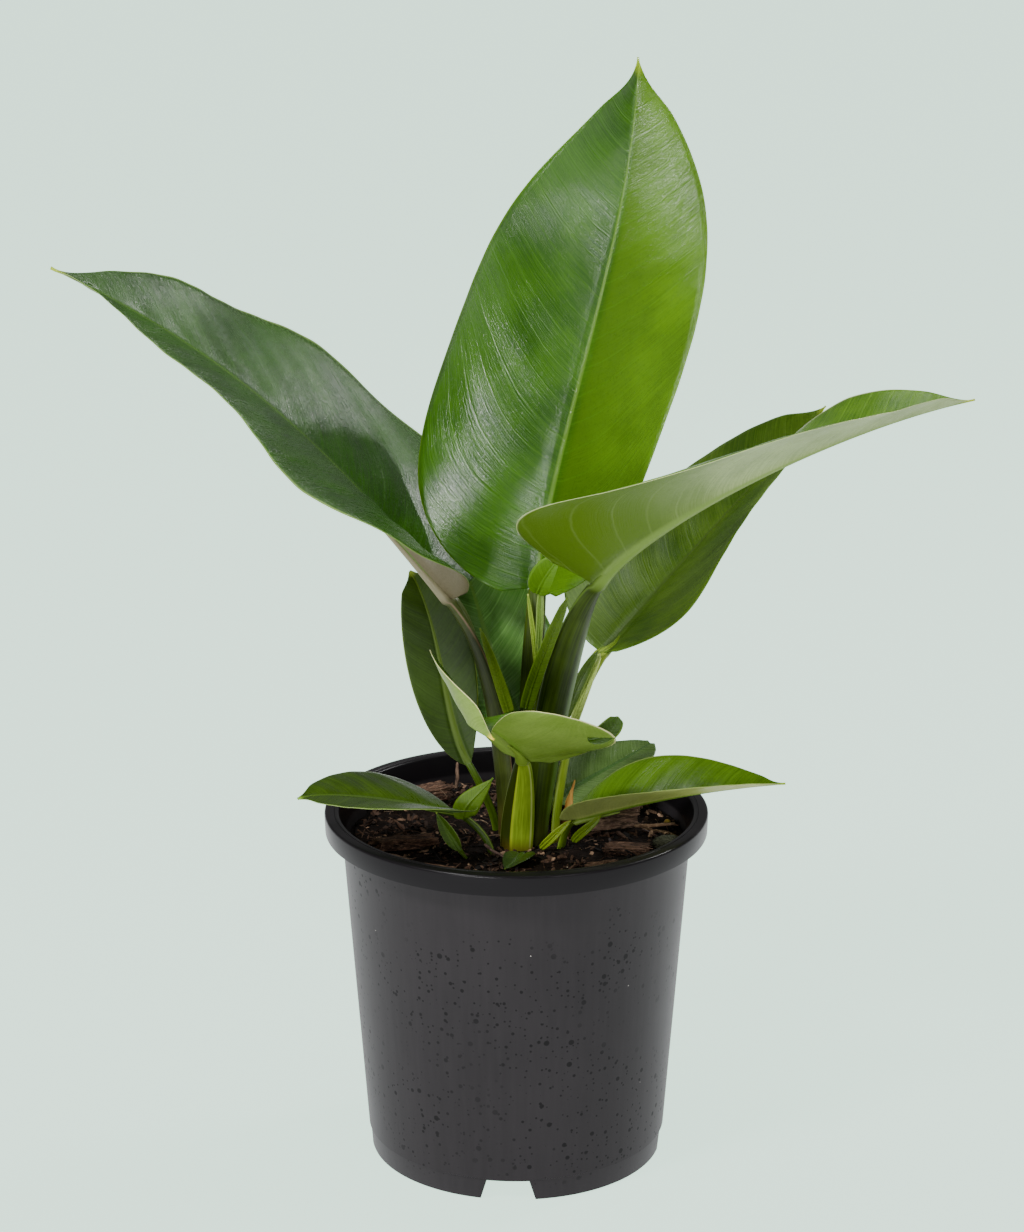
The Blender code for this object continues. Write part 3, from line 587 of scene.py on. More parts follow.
for name, place, size, turn, tilt, skin in BARK:
    piece = make_bark(name, place, size, turn, tilt)
    piece.data.materials.append(skin)
    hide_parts(name)
    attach(piece, "root")
grit = make_bark("grey_grit", (79, -13), (13, 9, 7), 10, grain=0.15, rounding=0.75)
grit.data.materials.append(grit_skin)
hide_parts("grey_grit")
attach(grit, "root")

# ---------------------------------------------------------------- twigs
# Two crossed twigs at the right, one stick leaning on the crown and a pale sliver of wood
# standing in the mound.


def make_twig(name, place, size, turn, tilt=0, above=0, sides=12, rings=26):
    """A bent rod with knots, round or flat, lying along its own x before it is turned."""
    bm = bmesh.new()
    bmesh.ops.create_grid(bm, x_segments=sides, y_segments=rings, size=1)
    seed = sum(map(ord, name)) % 89
    flat = np.array([v.co for v in bm.verts])
    lie = Matrix.Rotation(math.radians(turn), 3, "Z") @ Matrix.Rotation(math.radians(tilt), 3, "Y")
    for vert, (u, v) in zip(bm.verts, flat[:, :2]):
        angle = (u + 1) * math.pi
        knot = 1 + 0.28 * noise.noise(Vector((v * 5, seed, math.cos(angle) * 0.5)))
        end = (1 - abs(v) ** 9) ** 0.5 * (1 - 0.25 * (v + 1) / 2)
        bend = noise.noise(Vector((v * 1.3, seed * 2.1, 0.0))) * 0.05 * size[0]
        y = math.cos(angle) * size[1] / 2 * knot * end + bend
        z = math.sin(angle) * size[2] / 2 * knot * end + bend * 0.4
        vert.co = lie @ Vector((v * size[0] / 2, y, z))
    bmesh.ops.remove_doubles(bm, verts=bm.verts[:], dist=1e-5)
    low = -min(v.co.z for v in bm.verts) + above
    for vert in bm.verts:
        vert.co = (vert.co + Vector((*place, MIX_SURFACE + low))) * MM
    bm.verts.index_update()
    lengths = {v.index: (Vector(v.co) / MM - Vector((*place, MIX_SURFACE))) for v in bm.verts}
    back = lie.inverted()
    values = [((back @ lengths[k]).x / 100, (back @ lengths[k]).y / 100) for k in range(len(lengths))]
    set_uv(bm, "grain", np.array(values))
    bmesh.ops.recalc_face_normals(bm, faces=bm.faces[:])
    return finish_mesh(bm, f"{name}_piece", 60)


twig_skin = bark_skin("twig_bark", (0.07, 0.04, 0.022), (0.2, 0.12, 0.07), (0.42, 0.3, 0.19))
stick_skin = bark_skin("old_stick", (0.03, 0.018, 0.012), (0.1, 0.06, 0.05), (0.25, 0.17, 0.14))
for name, place, size, turn, tilt, above, skin in (
    ("twig_lower", (75, 10), (25, 2.4, 2.4), -38, 0, 0.3, twig_skin),
    ("twig_upper", (73, 13), (23, 2.0, 2.0), 12, 0, 3.3, twig_skin),
    ("twig_front", (-10, -32), (17, 1.7, 1.7), 8, 38, 0.3, stick_skin),
):
    piece = make_twig(name, place, size, turn, tilt, above)
    piece.data.materials.append(skin)
    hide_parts(name)
    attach(piece, "root")
sliver = make_twig("bark_sliver", (-32, 66), (19, 4.6, 1.8), 20, -86, 2.0)
sliver.data.materials.append(bark_pale)
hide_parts("bark_sliver")
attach(sliver, "root")

# ---------------------------------------------------------------- fertiliser bead and bud scale
# One coated bead of slow feed, and the orange dried scale that once wrapped a bud, standing
# papery and split against the stalks.


def waxed():
    p = Paint("bead_coat")
    place = p.node("TexCoord", out=3)
    cloud = p.noise(place, 420.0, 3.0)
    colour = p.mix(p.between(cloud, 0.35, 0.65), (0.32, 0.18, 0.02), (0.52, 0.35, 0.06))
    return p.finish(colour, p.plus(0.3, p.times(cloud, 0.2)), cloud, 0.3, 0.0002)


bm = bmesh.new()
bmesh.ops.create_icosphere(bm, subdivisions=4, radius=1.9)
for vert in bm.verts:
    vert.co *= 1 + 0.05 * noise.noise(vert.co * 0.7)
    vert.co = (vert.co + Vector((80, 23, MIX_SURFACE + 2.1))) * MM
bead = finish_mesh(bm, "fertiliser_bead_piece")
bead.data.materials.append(waxed())
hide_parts("fertiliser_bead")
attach(bead, "root")


def papery():
    p = Paint("dried_scale")
    place = p.node("TexCoord", out=3)
    height = p.axis(place, 2)
    streak = p.noise(p.node("Mapping", Vector=place, Scale=(1, 1, 0.12)), 420.0, 4.0, 0.65)
    colour = p.mix(p.between(streak, 0.32, 0.68), (0.26, 0.1, 0.015), (0.6, 0.33, 0.07))
    colour = p.mix(p.between(height, 0.19, 0.172), colour, (0.12, 0.07, 0.015))
    return p.finish(colour, p.plus(0.45, p.times(streak, 0.2)), streak, 0.5, 0.0004)


bm = bmesh.new()
bmesh.ops.create_grid(bm, x_segments=10, y_segments=46, size=1)
sheet = np.array([v.co for v in bm.verts])
rise = (sheet[:, 1] + 1) / 2
breadth = 2.7 * (1 - rise**2.2) + 0.25 * (1 - rise)
ripple = 0.25 * np.sin(rise * 19 + sheet[:, 0] * 2) * sheet[:, 0] ** 2
for vert, (u, v, _), t, w, r in zip(bm.verts, sheet, rise, breadth, ripple):
    x = 25.5 + u * w + 5 * t**2 + r
    y = 3.5 - 1.6 * u * u * (1 - t) - 2 * t + r
    vert.co = Vector((x, y, MIX_SURFACE - 0.8 + 34.5 * t)) * MM
bmesh.ops.solidify(bm, geom=bm.faces[:], thickness=0.35 * MM)
bmesh.ops.recalc_face_normals(bm, faces=bm.faces[:])
scale = finish_mesh(bm, "bud_scale_piece", 60)
scale.data.materials.append(papery())
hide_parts("bud_scale")
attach(scale, "root")

# ---------------------------------------------------------------- crown
# All the stalks leave one short stem, buried up to its top in the mix. Its pale corky skin
# and the roots under it are out of sight; only its top shows between the stalks.


def corky():
    p = Paint("corky_stem")
    place = p.node("TexCoord", out=3)
    ring = p.noise(p.node("Mapping", Vector=place, Scale=(1, 1, 6)), 60.0, 4.0)
    colour = p.mix(p.between(ring, 0.35, 0.65), (0.05, 0.03, 0.014), (0.16, 0.1, 0.035))
    return p.finish(colour, p.plus(0.6, p.times(ring, 0.3)), ring, 0.4, 0.0008)


crown = bpy.data.objects["crown_with_roots"]
crown.data.materials.clear()
crown.data.materials.append(corky())

# ---------------------------------------------------------------- leaves
# A leaf is a blade on a stalk. The blade is a thin waxy sheet with a thick rib down its
# middle and many side veins that sweep out towards the tip; the stalk is a firm rod with
# a channel, widening into a thin-edged sheath at its foot that holds the next leaf.

TIP_HALF_WIDTH = 0.5
BLADE_THICKNESS = 0.55
CROWN_HEIGHT = MIX_SURFACE


def bezier(points, t):
    p = np.asarray(points, float)
    t = np.asarray(t, float)
    if p.ndim > 1:
        t = t[..., None]
    u = 1 - t
    return p[0] * u**3 + 3 * p[1] * t * u**2 + 3 * p[2] * t**2 * u + p[3] * t**3


def bezier_slope(points, t):
    p = np.asarray(points, float)
    t = np.asarray(t, float)[..., None]
    u = 1 - t
    return 3 * ((p[1] - p[0]) * u**2 + 2 * (p[2] - p[1]) * t * u + (p[3] - p[2]) * t**2)


def unit(v):
    return v / np.linalg.norm(v, axis=-1, keepdims=True)


def through(values, t):
    first, middle, last = values
    return first * (1 - t) * (1 - 2 * t) + 4 * middle * t * (1 - t) + last * t * (2 * t - 1)


def smooth(x, low, high):
    t = np.clip((x - low) / (high - low), 0, 1)
    return t * t * (3 - 2 * t)


class Leaf:
    """One leaf's sizes in millimetres and degrees; heights are from the top of the mix."""

    def __init__(self, name, **sizes):
        self.name = name
        self.lobe, self.wave, self.blunt, self.rise, self.bend = 0.0, (0.0, 1.0, 0.0), 1.0, 50.0, 30.0
        self.rib_width, self.rib_depth, self.ripple, self.veins = 2.6, 2.2, 0.45, 15.0
        self.channel, self.keel = 0.35, 0.22
        self.__dict__.update(sizes)
        t = np.linspace(0, 1, 129)
        run = np.linalg.norm(np.diff(bezier(self.midrib, t), axis=0), axis=1)
        self.at, self.distance = t, np.concatenate([[0.0], np.cumsum(run)])
        self.length = self.distance[-1]

    def frame(self, along):
        on_rib = np.clip(along, 0, 1)
        at = np.interp(on_rib * self.length, self.distance, self.at)
        direction = unit(bezier_slope(self.midrib, at))
        point = bezier(self.midrib, at) + direction * ((along - on_rib) * self.length)[..., None]
        facing = np.asarray(self.facing, float)
        up = unit(facing - direction * (direction @ facing)[..., None])
        right = np.cross(direction, up)
        turn = np.radians(through(self.roll, on_rib))[..., None]
        normal = up * np.cos(turn) + right * np.sin(turn)
        return point, direction, normal, np.cross(direction, normal)

    def half_width_at(self, share):
        rounded, sharp = self.outline
        peak_at = rounded / (rounded + sharp)
        peak = peak_at**rounded * (1 - peak_at) ** sharp
        width = (share + 0.01) ** rounded * np.maximum(1 - share, 0) ** sharp / peak
        return np.maximum(width * self.half_width * (1 - 0.45 * smooth(share, 0.9, 0.985)), TIP_HALF_WIDTH)

    def blade(self, along, across):
        """Middle of the sheet, and where it lies: (distance from the rib, place along the veins)."""
        side, reach = np.sign(across), np.abs(across)
        share = along**0.75
        margin = share * (1 + self.lobe) - self.lobe
        on_rib = along + (margin - along) * reach**1.3
        point, _, normal, right = self.frame(on_rib)
        width = reach * self.half_width_at(share)
        clipped = np.clip(on_rib, 0, 1)
        left = across < 0
        fold_left, fold_right = through(self.fold_left, clipped), through(self.fold_right, clipped)
        fold = np.radians(np.where(left, fold_left, fold_right))
        turn = np.radians(np.where(left, *self.camber)) / self.half_width + 1e-7
        angle = fold + turn * width
        sideways = (np.sin(angle) - np.sin(fold)) / turn
        upwards = (np.cos(fold) - np.cos(angle)) / turn
        height, cycles, phase = self.wave
        beat = np.sin(math.tau * (cycles * clipped + phase / 360 + np.where(left, 0, 0.5)))
        swell = height * beat * reach**2
        swell = swell * np.minimum(1, 4 - 4 * clipped) * np.minimum(1, 0.2 + 4 * clipped)
        lean = (0.2 + 0.45 * smooth(clipped, 0, 0.45)) * (0.75 + 0.6 * reach)
        flow = on_rib * self.length - width * lean
        between_veins = self.ripple * np.sin(math.tau * flow / (self.veins * 1.9) + side)
        fading = smooth(reach, 0.05, 0.3) * (1 - 0.7 * smooth(reach, 0.75, 1))
        swell = swell + between_veins * fading
        sideways = sideways - swell * np.sin(angle)
        upwards = upwards + swell * np.cos(angle)
        place = point + right * (side * sideways)[..., None] + normal * upwards[..., None]
        return place, side * width, flow, normal

    def route(self):
        base = np.asarray(self.midrib[0], float)
        start = unit(np.asarray(self.midrib[1], float) - base)
        foot = np.array([*self.foot, -2.0])
        return np.array([foot, foot + (0, 0, self.rise), base - start * self.bend, base])

    def stalk(self, along, turn, grow=0.0):
        """Stalk surface: along 0 to 1 from foot to blade, then on under the rib to its fade-out."""
        route = self.route()
        on_stalk = np.clip(along, 0, 1)
        direction = unit(bezier_slope(route, on_stalk))
        back = math.radians(self.sheath_back)
        inward = np.array([-math.cos(back), -math.sin(back), 0.0])
        top_normal = self.frame(np.zeros(1))[2][0]
        front = inward + (top_normal - inward) * (on_stalk**2)[..., None]
        front = unit(front - direction * (front * direction).sum(-1)[..., None])
        right = np.cross(direction, front)
        half_width = bezier(self.stalk_half_width, on_stalk) + grow
        half_depth = bezier(self.stalk_half_depth, on_stalk) + grow
        wrap = self.sheath_wrap * np.cos(turn) ** 2 * np.sin(math.pi * on_stalk) ** 0.5
        centre = bezier(route, on_stalk)
        past = np.clip((along - 1) / 0.5, 0, 1)
        rib, _, rib_normal, rib_right = self.frame(past * self.keel)
        keel = along > 1
        sunk = half_depth * (0.35 + 0.75 * past * smooth(0.45 - self.keel, 0, 0.2))
        sunk = sunk * (1 - 0.8 * past * (self.keel > 0.3))
        centre = np.where(keel[..., None], rib - rib_normal * sunk[..., None], centre)
        front = np.where(keel[..., None], rib_normal, front)
        right = np.where(keel[..., None], rib_right, right)
        taper = np.where(keel, 1 - 0.8 * past, 1.0)
        dip = self.channel * half_depth * np.exp(-((np.cos(turn) / 0.42) ** 2)) * (np.sin(turn) > 0)
        across = half_width * np.cos(turn) * taper
        outward = half_depth * np.sin(turn) * taper + wrap - dip * taper
        return centre + right * across[..., None] + front * outward[..., None]


def lifted(points):
    return (points + (0, 0, CROWN_HEIGHT)) * MM


def make_blade(leaf, rows=130, columns=44):
    """The blade as a closed sheet: two grids, upper and lower, joined round the margin."""
    bm = bmesh.new()
    for _ in (0, 1):
        bmesh.ops.create_grid(bm, x_segments=columns, y_segments=rows, size=1)
    bm.verts.ensure_lookup_table()
    count = len(bm.verts) // 2
    flat = np.array([v.co for v in bm.verts[:count]])
    across = np.sign(flat[:, 0]) * np.abs(flat[:, 0]) ** 1.35
    along = ((flat[:, 1] + 1) / 2) ** 1.5 * leaf.blunt
    middle, aside, flow, _ = leaf.blade(along, across)
    order = np.lexsort((flat[:, 0].round(5), flat[:, 1].round(5)))
    table = middle[order].reshape(rows + 1, columns + 1, 3)
    up = np.cross(np.gradient(table, axis=1), np.gradient(table, axis=0)).reshape(-1, 3)
    normal = np.empty_like(up)
    normal[order] = unit(up)
    rib = leaf.rib_width * (1 - 0.75 * smooth(along, 0.0, 0.95))
    near = np.exp(-((aside / rib) ** 2))
    fine = 1 - smooth(np.abs(across), 0.94, 1.0)
    half = 0.5 * BLADE_THICKNESS * (0.35 + 0.65 * fine)
    gutter = np.exp(-(((np.abs(aside) - rib * 1.7) / (rib * 0.8)) ** 2))
    above = half + near * 0.45 * (1 - 0.6 * along) - 0.55 * gutter * (1 - along)
    keel = leaf.rib_depth * (1 - smooth(along, 0, 1)) ** 1.2 * smooth(along, -0.02, 0.05)
    below = half + near * keel
    for index in range(count):
        bm.verts[index].co = lifted(middle[index] + normal[index] * above[index])
        bm.verts[index + count].co = lifted(middle[index] - normal[index] * below[index])
    bm.faces.ensure_lookup_table()
    half_faces = len(bm.faces) // 2
    lower = bm.faces[half_faces:]
    bmesh.ops.reverse_faces(bm, faces=lower)
    for face in lower:
        face.material_index = 1
    bm.verts.index_update()
    bmesh.ops.bridge_loops(bm, edges=[e for e in bm.edges if e.is_boundary])
    bmesh.ops.recalc_face_normals(bm, faces=bm.faces[:])
    set_uv(bm, "blade", np.tile(np.column_stack([across, along]), (2, 1)))
    set_uv(bm, "veins", np.tile(np.column_stack([aside, flow]) / 100, (2, 1)))
    return finish_mesh(bm, f"{leaf.name}_blade")


def make_stalk(leaf, sides=28, rings=70):
    bm = bmesh.new()
    bmesh.ops.create_grid(bm, x_segments=sides, y_segments=rings, size=1)
    flat = np.array([v.co for v in bm.verts])
    along = (flat[:, 1] + 1) / 2 * 1.5
    turn = (flat[:, 0] + 1) * math.pi
    for vert, place in zip(bm.verts, lifted(leaf.stalk(along, turn))):
        vert.co = place
    bm.verts.index_update()
    set_uv(bm, "stalk", np.column_stack([turn / math.tau, along]))
    bmesh.ops.remove_doubles(bm, verts=bm.verts[:], dist=1e-6)
    bmesh.ops.holes_fill(bm, edges=[e for e in bm.edges if e.is_boundary], sides=0)
    bmesh.ops.recalc_face_normals(bm, faces=bm.faces[:])
    return finish_mesh(bm, f"{leaf.name}_stalk", 70)


def side_veins():
    """Side veins of a blade, from the 'veins' map: fine streaks, principal veins and relief."""
    p = Paint("side_veins", group=True)
    p.socket("Map", "Vector")
    p.socket("Spacing", "Float", value=0.15)
    p.socket("Streak", "Float", "OUTPUT")
    p.socket("Vein", "Float", "OUTPUT")
    p.socket("Relief", "Float", "OUTPUT")
    given = p.inside.outputs["Map"]
    aside = p.axis(given)
    flow = p.axis(given, 1)
    side = p.maths("SIGN", aside)
    bend = p.noise(given, 5.0, 2.0)
    flow = p.plus(flow, p.times(p.minus(bend, 0.5), 0.03))
    flow = p.plus(flow, p.times(side, 0.037))
    drawn = p.node("CombineXYZ", X=p.times(aside, 2.2), Y=p.times(flow, 60.0))
    streak = p.noise(drawn, 1.7, 5.0, 0.66)
    beat = p.maths("PINGPONG", p.maths("DIVIDE", flow, p.inside.outputs["Spacing"]), 0.5)
    line = p.minus(1.0, p.between(beat, 0.0, 0.055))
    relief = p.minus(streak, p.times(line, 0.3))
    for name, value in (("Streak", streak), ("Vein", line), ("Relief", relief)):
        p.put(p.outside.inputs[name], value)
    return p.tree


def rib_and_rim():
    """Masks over a blade: its midrib, its pale margin and its yellow tip."""
    p = Paint("rib_and_rim", group=True)
    p.socket("Blade", "Vector")
    p.socket("Map", "Vector")
    p.socket("Rib Width", "Float", value=0.02)
    p.socket("Rim From", "Float", value=0.975)
    for name in ("Rib", "Rim", "Tip"):
        p.socket(name, "Float", "OUTPUT")
    reach = p.maths("ABSOLUTE", p.axis(p.inside.outputs["Blade"]))
    along = p.axis(p.inside.outputs["Blade"], 1)
    aside = p.maths("ABSOLUTE", p.axis(p.inside.outputs["Map"]))
    narrowing = p.minus(1.0, p.times(p.between(along, 0.0, 0.95), 0.72))
    wide = p.times(p.inside.outputs["Rib Width"], narrowing)
    rib = p.minus(1.0, p.between(p.maths("DIVIDE", aside, wide), 0.55, 1.15))
    rim_from = p.inside.outputs["Rim From"]
    rim = p.between(reach, rim_from, p.plus(rim_from, 0.017))
    tip = p.between(along, 0.955, 0.99)
    for name, value in (("Rib", rib), ("Rim", rim), ("Tip", tip)):
        p.put(p.outside.inputs[name], value)
    return p.tree


vein_group = side_veins()
rim_group = rib_and_rim()


def blade_skin(
    name, deep, fresh, rib, rim, tip, rough=0.3, relief=0.35, wax=0.26, vein_share=0.35,
    rib_width=0.022, rim_from=0.975, painted_glow=None, base=None, base_until=0.3, scars=0.0,
):
    """One face of a blade. Its glow colour is painted light: the half that faces the light is painted
    brighter with it, less so near the rib. base is the colour of its foot.
    """
    p = Paint(name)
    place = p.node("TexCoord", out=3)
    blade = p.node("UVMap", settings={"uv_map": "blade"})
    veins_at = p.node("UVMap", settings={"uv_map": "veins"})
    veins = p.group(vein_group, Map=veins_at, Spacing=0.15)
    masks = p.group(rim_group, Blade=blade, Map=veins_at, Rib_Width=rib_width, Rim_From=rim_from)
    cloud = p.noise(place, 28.0, 3.0)
    streak = p.between(veins["Streak"], 0.36, 0.66)
    cloudy = p.times(p.between(cloud, 0.35, 0.65), 0.5)
    share = p.plus(p.times(streak, 0.45), cloudy)
    colour = p.mix(share, deep, fresh)
    # Painted light: the half that faces the light takes the brighter glow colour, painted darker towards the
    # rib.
    if painted_glow:
        half = p.between(p.axis(blade), -0.02, 0.12)
        lit = p.mix(share, shade(painted_glow, 0.55), painted_glow)
        outer = p.between(p.axis(blade), 0.0, 0.75)
        lit = p.mix(outer, shade(painted_glow, 0.6), lit)
        colour = p.mix(p.times(half, 0.92), colour, lit)
    if base:
        foot = p.between(p.axis(blade, 1), base_until, base_until * 0.4)
        colour = p.mix(foot, colour, base)
    pale = tuple(min(1, channel * 1.5 + 0.004) for channel in fresh)
    colour = p.mix(p.times(veins["Vein"], vein_share), colour, pale)
    mottle = p.noise(place, 700.0, 2.0)
    mottled = p.times(p.between(mottle, 0.5, 0.75), 0.22)
    colour = p.mix(mottled, colour, shade(deep, 0.55))
    if scars:
        spot = p.tree.nodes.new("ShaderNodeTexVoronoi")
        p.put(spot.inputs["Vector"], place)
        p.put(spot.inputs["Scale"], 75.0)
        inside = p.maths("LESS_THAN", spot.outputs["Distance"], 0.12)
        chosen = p.maths("GREATER_THAN", p.node("SeparateColor", Color=spot.outputs["Color"]), 1 - scars)
        hit = p.times(inside, chosen)
        colour = p.mix(hit, colour, (0.3, 0.2, 0.07))
    colour = p.mix(p.times(masks["Rib"], 0.85), colour, rib)
    colour = p.mix(p.times(masks["Rim"], 0.8), colour, rim)
    colour = p.mix(masks["Tip"], colour, tip)
    streaked = p.times(p.minus(veins["Streak"], 0.5), 0.25)
    speckled = p.times(p.minus(mottle, 0.5), 0.2)
    roughness = p.plus(p.plus(rough, streaked), speckled)
    bumps = p.plus(veins["Relief"], p.times(mottle, 0.25))
    return p.finish(colour, roughness, bumps, relief, 0.0007, Specular_IOR_Level=wax)


def stalk_skin(name, dark, light, edge=(0.25, 0.36, 0.06), low=None, keel=None, panels=()):
    """A stalk: fine streaks along it, and panels of other colours from one turn to another."""
    p = Paint(name)
    place = p.node("TexCoord", out=3)
    stalk = p.node("UVMap", settings={"uv_map": "stalk"})
    round_it = p.axis(stalk)
    along = p.axis(stalk, 1)
    drawn = p.node("CombineXYZ", X=p.times(round_it, 26.0), Y=p.times(along, 1.6))
    streak = p.noise(drawn, 2.2, 4.0, 0.6)
    cloud = p.noise(place, 40.0, 3.0)
    cloudy = p.times(p.between(cloud, 0.35, 0.65), 0.4)
    share = p.plus(p.times(p.between(streak, 0.35, 0.68), 0.6), cloudy)
    colour = p.mix(share, dark, light)
    for first, last, soft, panel in panels:
        begun = p.between(round_it, first - soft, first)
        inside = p.times(begun, p.between(round_it, last + soft, last))
        colour = p.mix(inside, colour, p.mix(share, shade(panel, 0.75), panel))
    corner = p.maths("PINGPONG", round_it, 0.5)
    thin = p.maths("MAXIMUM", p.between(corner, 0.035, 0.01), p.between(corner, 0.465, 0.49))
    colour = p.mix(p.times(thin, 0.6), colour, edge)
    if low:
        colour = p.mix(p.between(along, 0.2, 0.0), colour, low)
    if keel:
        colour = p.mix(p.between(along, 0.97, 1.04), colour, keel)
    streaked = p.times(p.minus(streak, 0.5), 0.3)
    return p.finish(colour, p.plus(0.42, streaked), streak, 0.3, 0.0004, Specular_IOR_Level=0.25)


def give(piece, node):
    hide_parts(node)
    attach(piece, "root")


def put_on(leaf, slot, upper, under, stalk, rib, rim, tip, upper_finish, under_finish, **stalk_finish):
    """Makes and finishes both pieces of a leaf. Each pair of colours runs from dark to light."""
    blade = make_blade(leaf)
    for side, colours, finish in (("upper", upper, upper_finish), ("under", under, under_finish)):
        blade.data.materials.append(blade_skin(f"{leaf.name}_{side}", *colours, rib, rim, tip, **finish))
    stem = make_stalk(leaf)
    stem.data.materials.append(stalk_skin(f"{leaf.name}_stalk", *stalk, **stalk_finish))
    give(blade, leaf.name)
    give(stem, leaf.name)


def put_flap(
    name, leaf, deep, fresh, back, rim, midrib, half_width,
    facing=(0, -1, 0.3), outline=(0.12, 0.4), fold=12,
):
    """A sheath wing or a curled lobe: a small blade with no rib, belonging to a leaf's node."""
    flap = Leaf(
        name, midrib=midrib, half_width=half_width, facing=facing, roll=(0, 0, 0),
        fold_left=(fold, fold, fold), fold_right=(fold, fold, fold), camber=(0, 0), outline=outline,
        rib_width=0.5, rib_depth=0.0, ripple=0.0,
    )
    plain = dict(rib_width=0.0004, rim_from=0.86, vein_share=0.0)
    front_skin = blade_skin(f"{name}_skin", deep, fresh, deep, rim, rim, rough=0.4, **plain)
    back_skin = blade_skin(f"{name}_back", back, fresh, back, rim, rim, rough=0.45, **plain)
    blade = make_blade(flap, rows=56, columns=16)
    blade.data.materials.append(front_skin)
    blade.data.materials.append(back_skin)
    give(blade, leaf.name)


# ---------------------------------------------------------------- tall centre leaf
# The plant's largest and newest full leaf. It stands almost upright and looks towards the front left; its
# right half leans into the light, and the yellow-green glow of light through it is painted into its upper
# face.

tall_centre_leaf = Leaf(
    "tall_centre_leaf", midrib=((11, 27, 130), (16, 42, 195), (62, 50, 316), (62, 76, 398)),
    half_width=86, facing=(0, -1, 0), roll=(-22, -23, 6), fold_left=(26, 8, 20), fold_right=(40, 27, 19),
    camber=(-22, -1), outline=(0.57, 1.09), foot=(6, 10), stalk_half_width=(4.5, 7, 6, 4.8),
    stalk_half_depth=(3.2, 3, 3, 3.2), sheath_wrap=0.5, sheath_back=90, lobe=0.01,
    wave=(-12.7, 0.8, -20.1), rib_width=3.0, rib_depth=2.6, veins=17.0, ripple=0.3,
)
put_on(
    tall_centre_leaf, "mature_leaf", upper=((0.016, 0.065, 0.000), (0.048, 0.150, 0.001)),
    under=((0.061, 0.156, 0.007), (0.127, 0.262, 0.021)),
    stalk=((0.018, 0.030, 0.001), (0.061, 0.107, 0.004)), rib=(0.107, 0.216, 0.021),
    rim=(0.117, 0.246, 0.004), tip=(0.305, 0.456, 0.013),
    # The upper face paints the light glowing through its right half as a brighter colour.
    upper_finish=dict(
        rough=0.2, wax=0.45, rim_from=0.982, painted_glow=(0.098, 0.231, 0.000), vein_share=0.2, relief=0.5,
    ),
    under_finish=dict(rough=0.5, vein_share=0.05, relief=0.15), keel=(0.080, 0.156, 0.013),
    low=(0.045, 0.034, 0.007),
)
put_flap(
    "tall_centre_leaf_sheath_left", tall_centre_leaf, deep=(0.117, 0.231, 0.007),
    fresh=(0.305, 0.445, 0.045), back=(0.305, 0.445, 0.045), rim=(0.402, 0.515, 0.080),
    midrib=((10.2, 12.0, 93.5), (9.6, 14.7, 106.2), (7.4, 18.8, 116.7), (6.0, 20.0, 129.0)),
    half_width=1.4,
)
put_flap(
    "tall_centre_leaf_sheath_right", tall_centre_leaf, deep=(0.080, 0.162, 0.013),
    fresh=(0.188, 0.305, 0.045), back=(0.188, 0.305, 0.045), rim=(0.305, 0.434, 0.102),
    midrib=((10.7, 12.5, 94.4), (12.2, 14.6, 107.2), (12.1, 18.2, 120.3), (12.8, 21.0, 131.9)),
    half_width=2.0, outline=(0.5, 0.3),
)
put_flap(
    "tall_centre_leaf_lobe", tall_centre_leaf, deep=(0.048, 0.127, 0.001),
    fresh=(0.107, 0.238, 0.002), back=(0.045, 0.102, 0.003), rim=(0.102, 0.223, 0.007),
    midrib=((10.7, 20.0, 129.1), (12.8, 16.5, 136.2), (17.0, 14.5, 143.0), (22.0, 14.0, 149.5)),
    half_width=8.0, outline=(0.45, 0.45), fold=8,
)

# ---------------------------------------------------------------- left leaf
# A long leaf held out to the left, with a steep glossy far half and a paler near half
# whose basal lobe turns its greyish underside out.

left_leaf = Leaf(
    "left_leaf", midrib=((-34, 23, 125), (-97, 34, 205), (-144, 4, 259), (-231, -3, 304)), half_width=89,
    facing=(0, 0, 1), roll=(-4, -21, -17), fold_left=(48, 21, 33), fold_right=(24, 6, 19),
    camber=(-21, -7), outline=(0.51, 1.13), foot=(-6, 4), stalk_half_width=(5.2, 8, 11, 4.2),
    stalk_half_depth=(2, 2, 2.4, 3.6), sheath_wrap=2, sheath_back=-140, wave=(3, 2.8, -192.7),
    rib_width=2.8, rib_depth=2.6, veins=13.0, ripple=0.55,
)
put_on(
    left_leaf, "mature_leaf", upper=((0.010, 0.042, 0.001), (0.030, 0.107, 0.002)),
    under=((0.076, 0.112, 0.027), (0.168, 0.223, 0.080)),
    stalk=((0.016, 0.023, 0.002), (0.054, 0.076, 0.008)), rib=(0.089, 0.188, 0.021),
    rim=(0.223, 0.352, 0.080), tip=(0.352, 0.456, 0.032),
    upper_finish=dict(rough=0.26, wax=0.4, vein_share=0.12, relief=0.6),
    under_finish=dict(rough=0.5, base=(0.138, 0.117, 0.061), base_until=0.34, vein_share=0.05, relief=0.15),
    keel=(0.262, 0.238, 0.138), edge=(0.262, 0.156, 0.098), low=(0.061, 0.042, 0.010),
)
put_flap(
    "left_leaf_sheath", left_leaf, deep=(0.061, 0.122, 0.002), fresh=(0.150, 0.246, 0.010),
    back=(0.061, 0.122, 0.003), rim=(0.150, 0.246, 0.010),
    midrib=((-3.8, 2.0, 70.6), (-8.8, 5.8, 86.2), (-12.2, 6.7, 96.3), (-18.8, 9.0, 113.9)),
    half_width=3.1, outline=(0.1, 0.5),
)

# ---------------------------------------------------------------- right leaf
# It reaches out to the right with its near half folded up, so its pale underside and the
# thick rib under it are what is seen from the front.

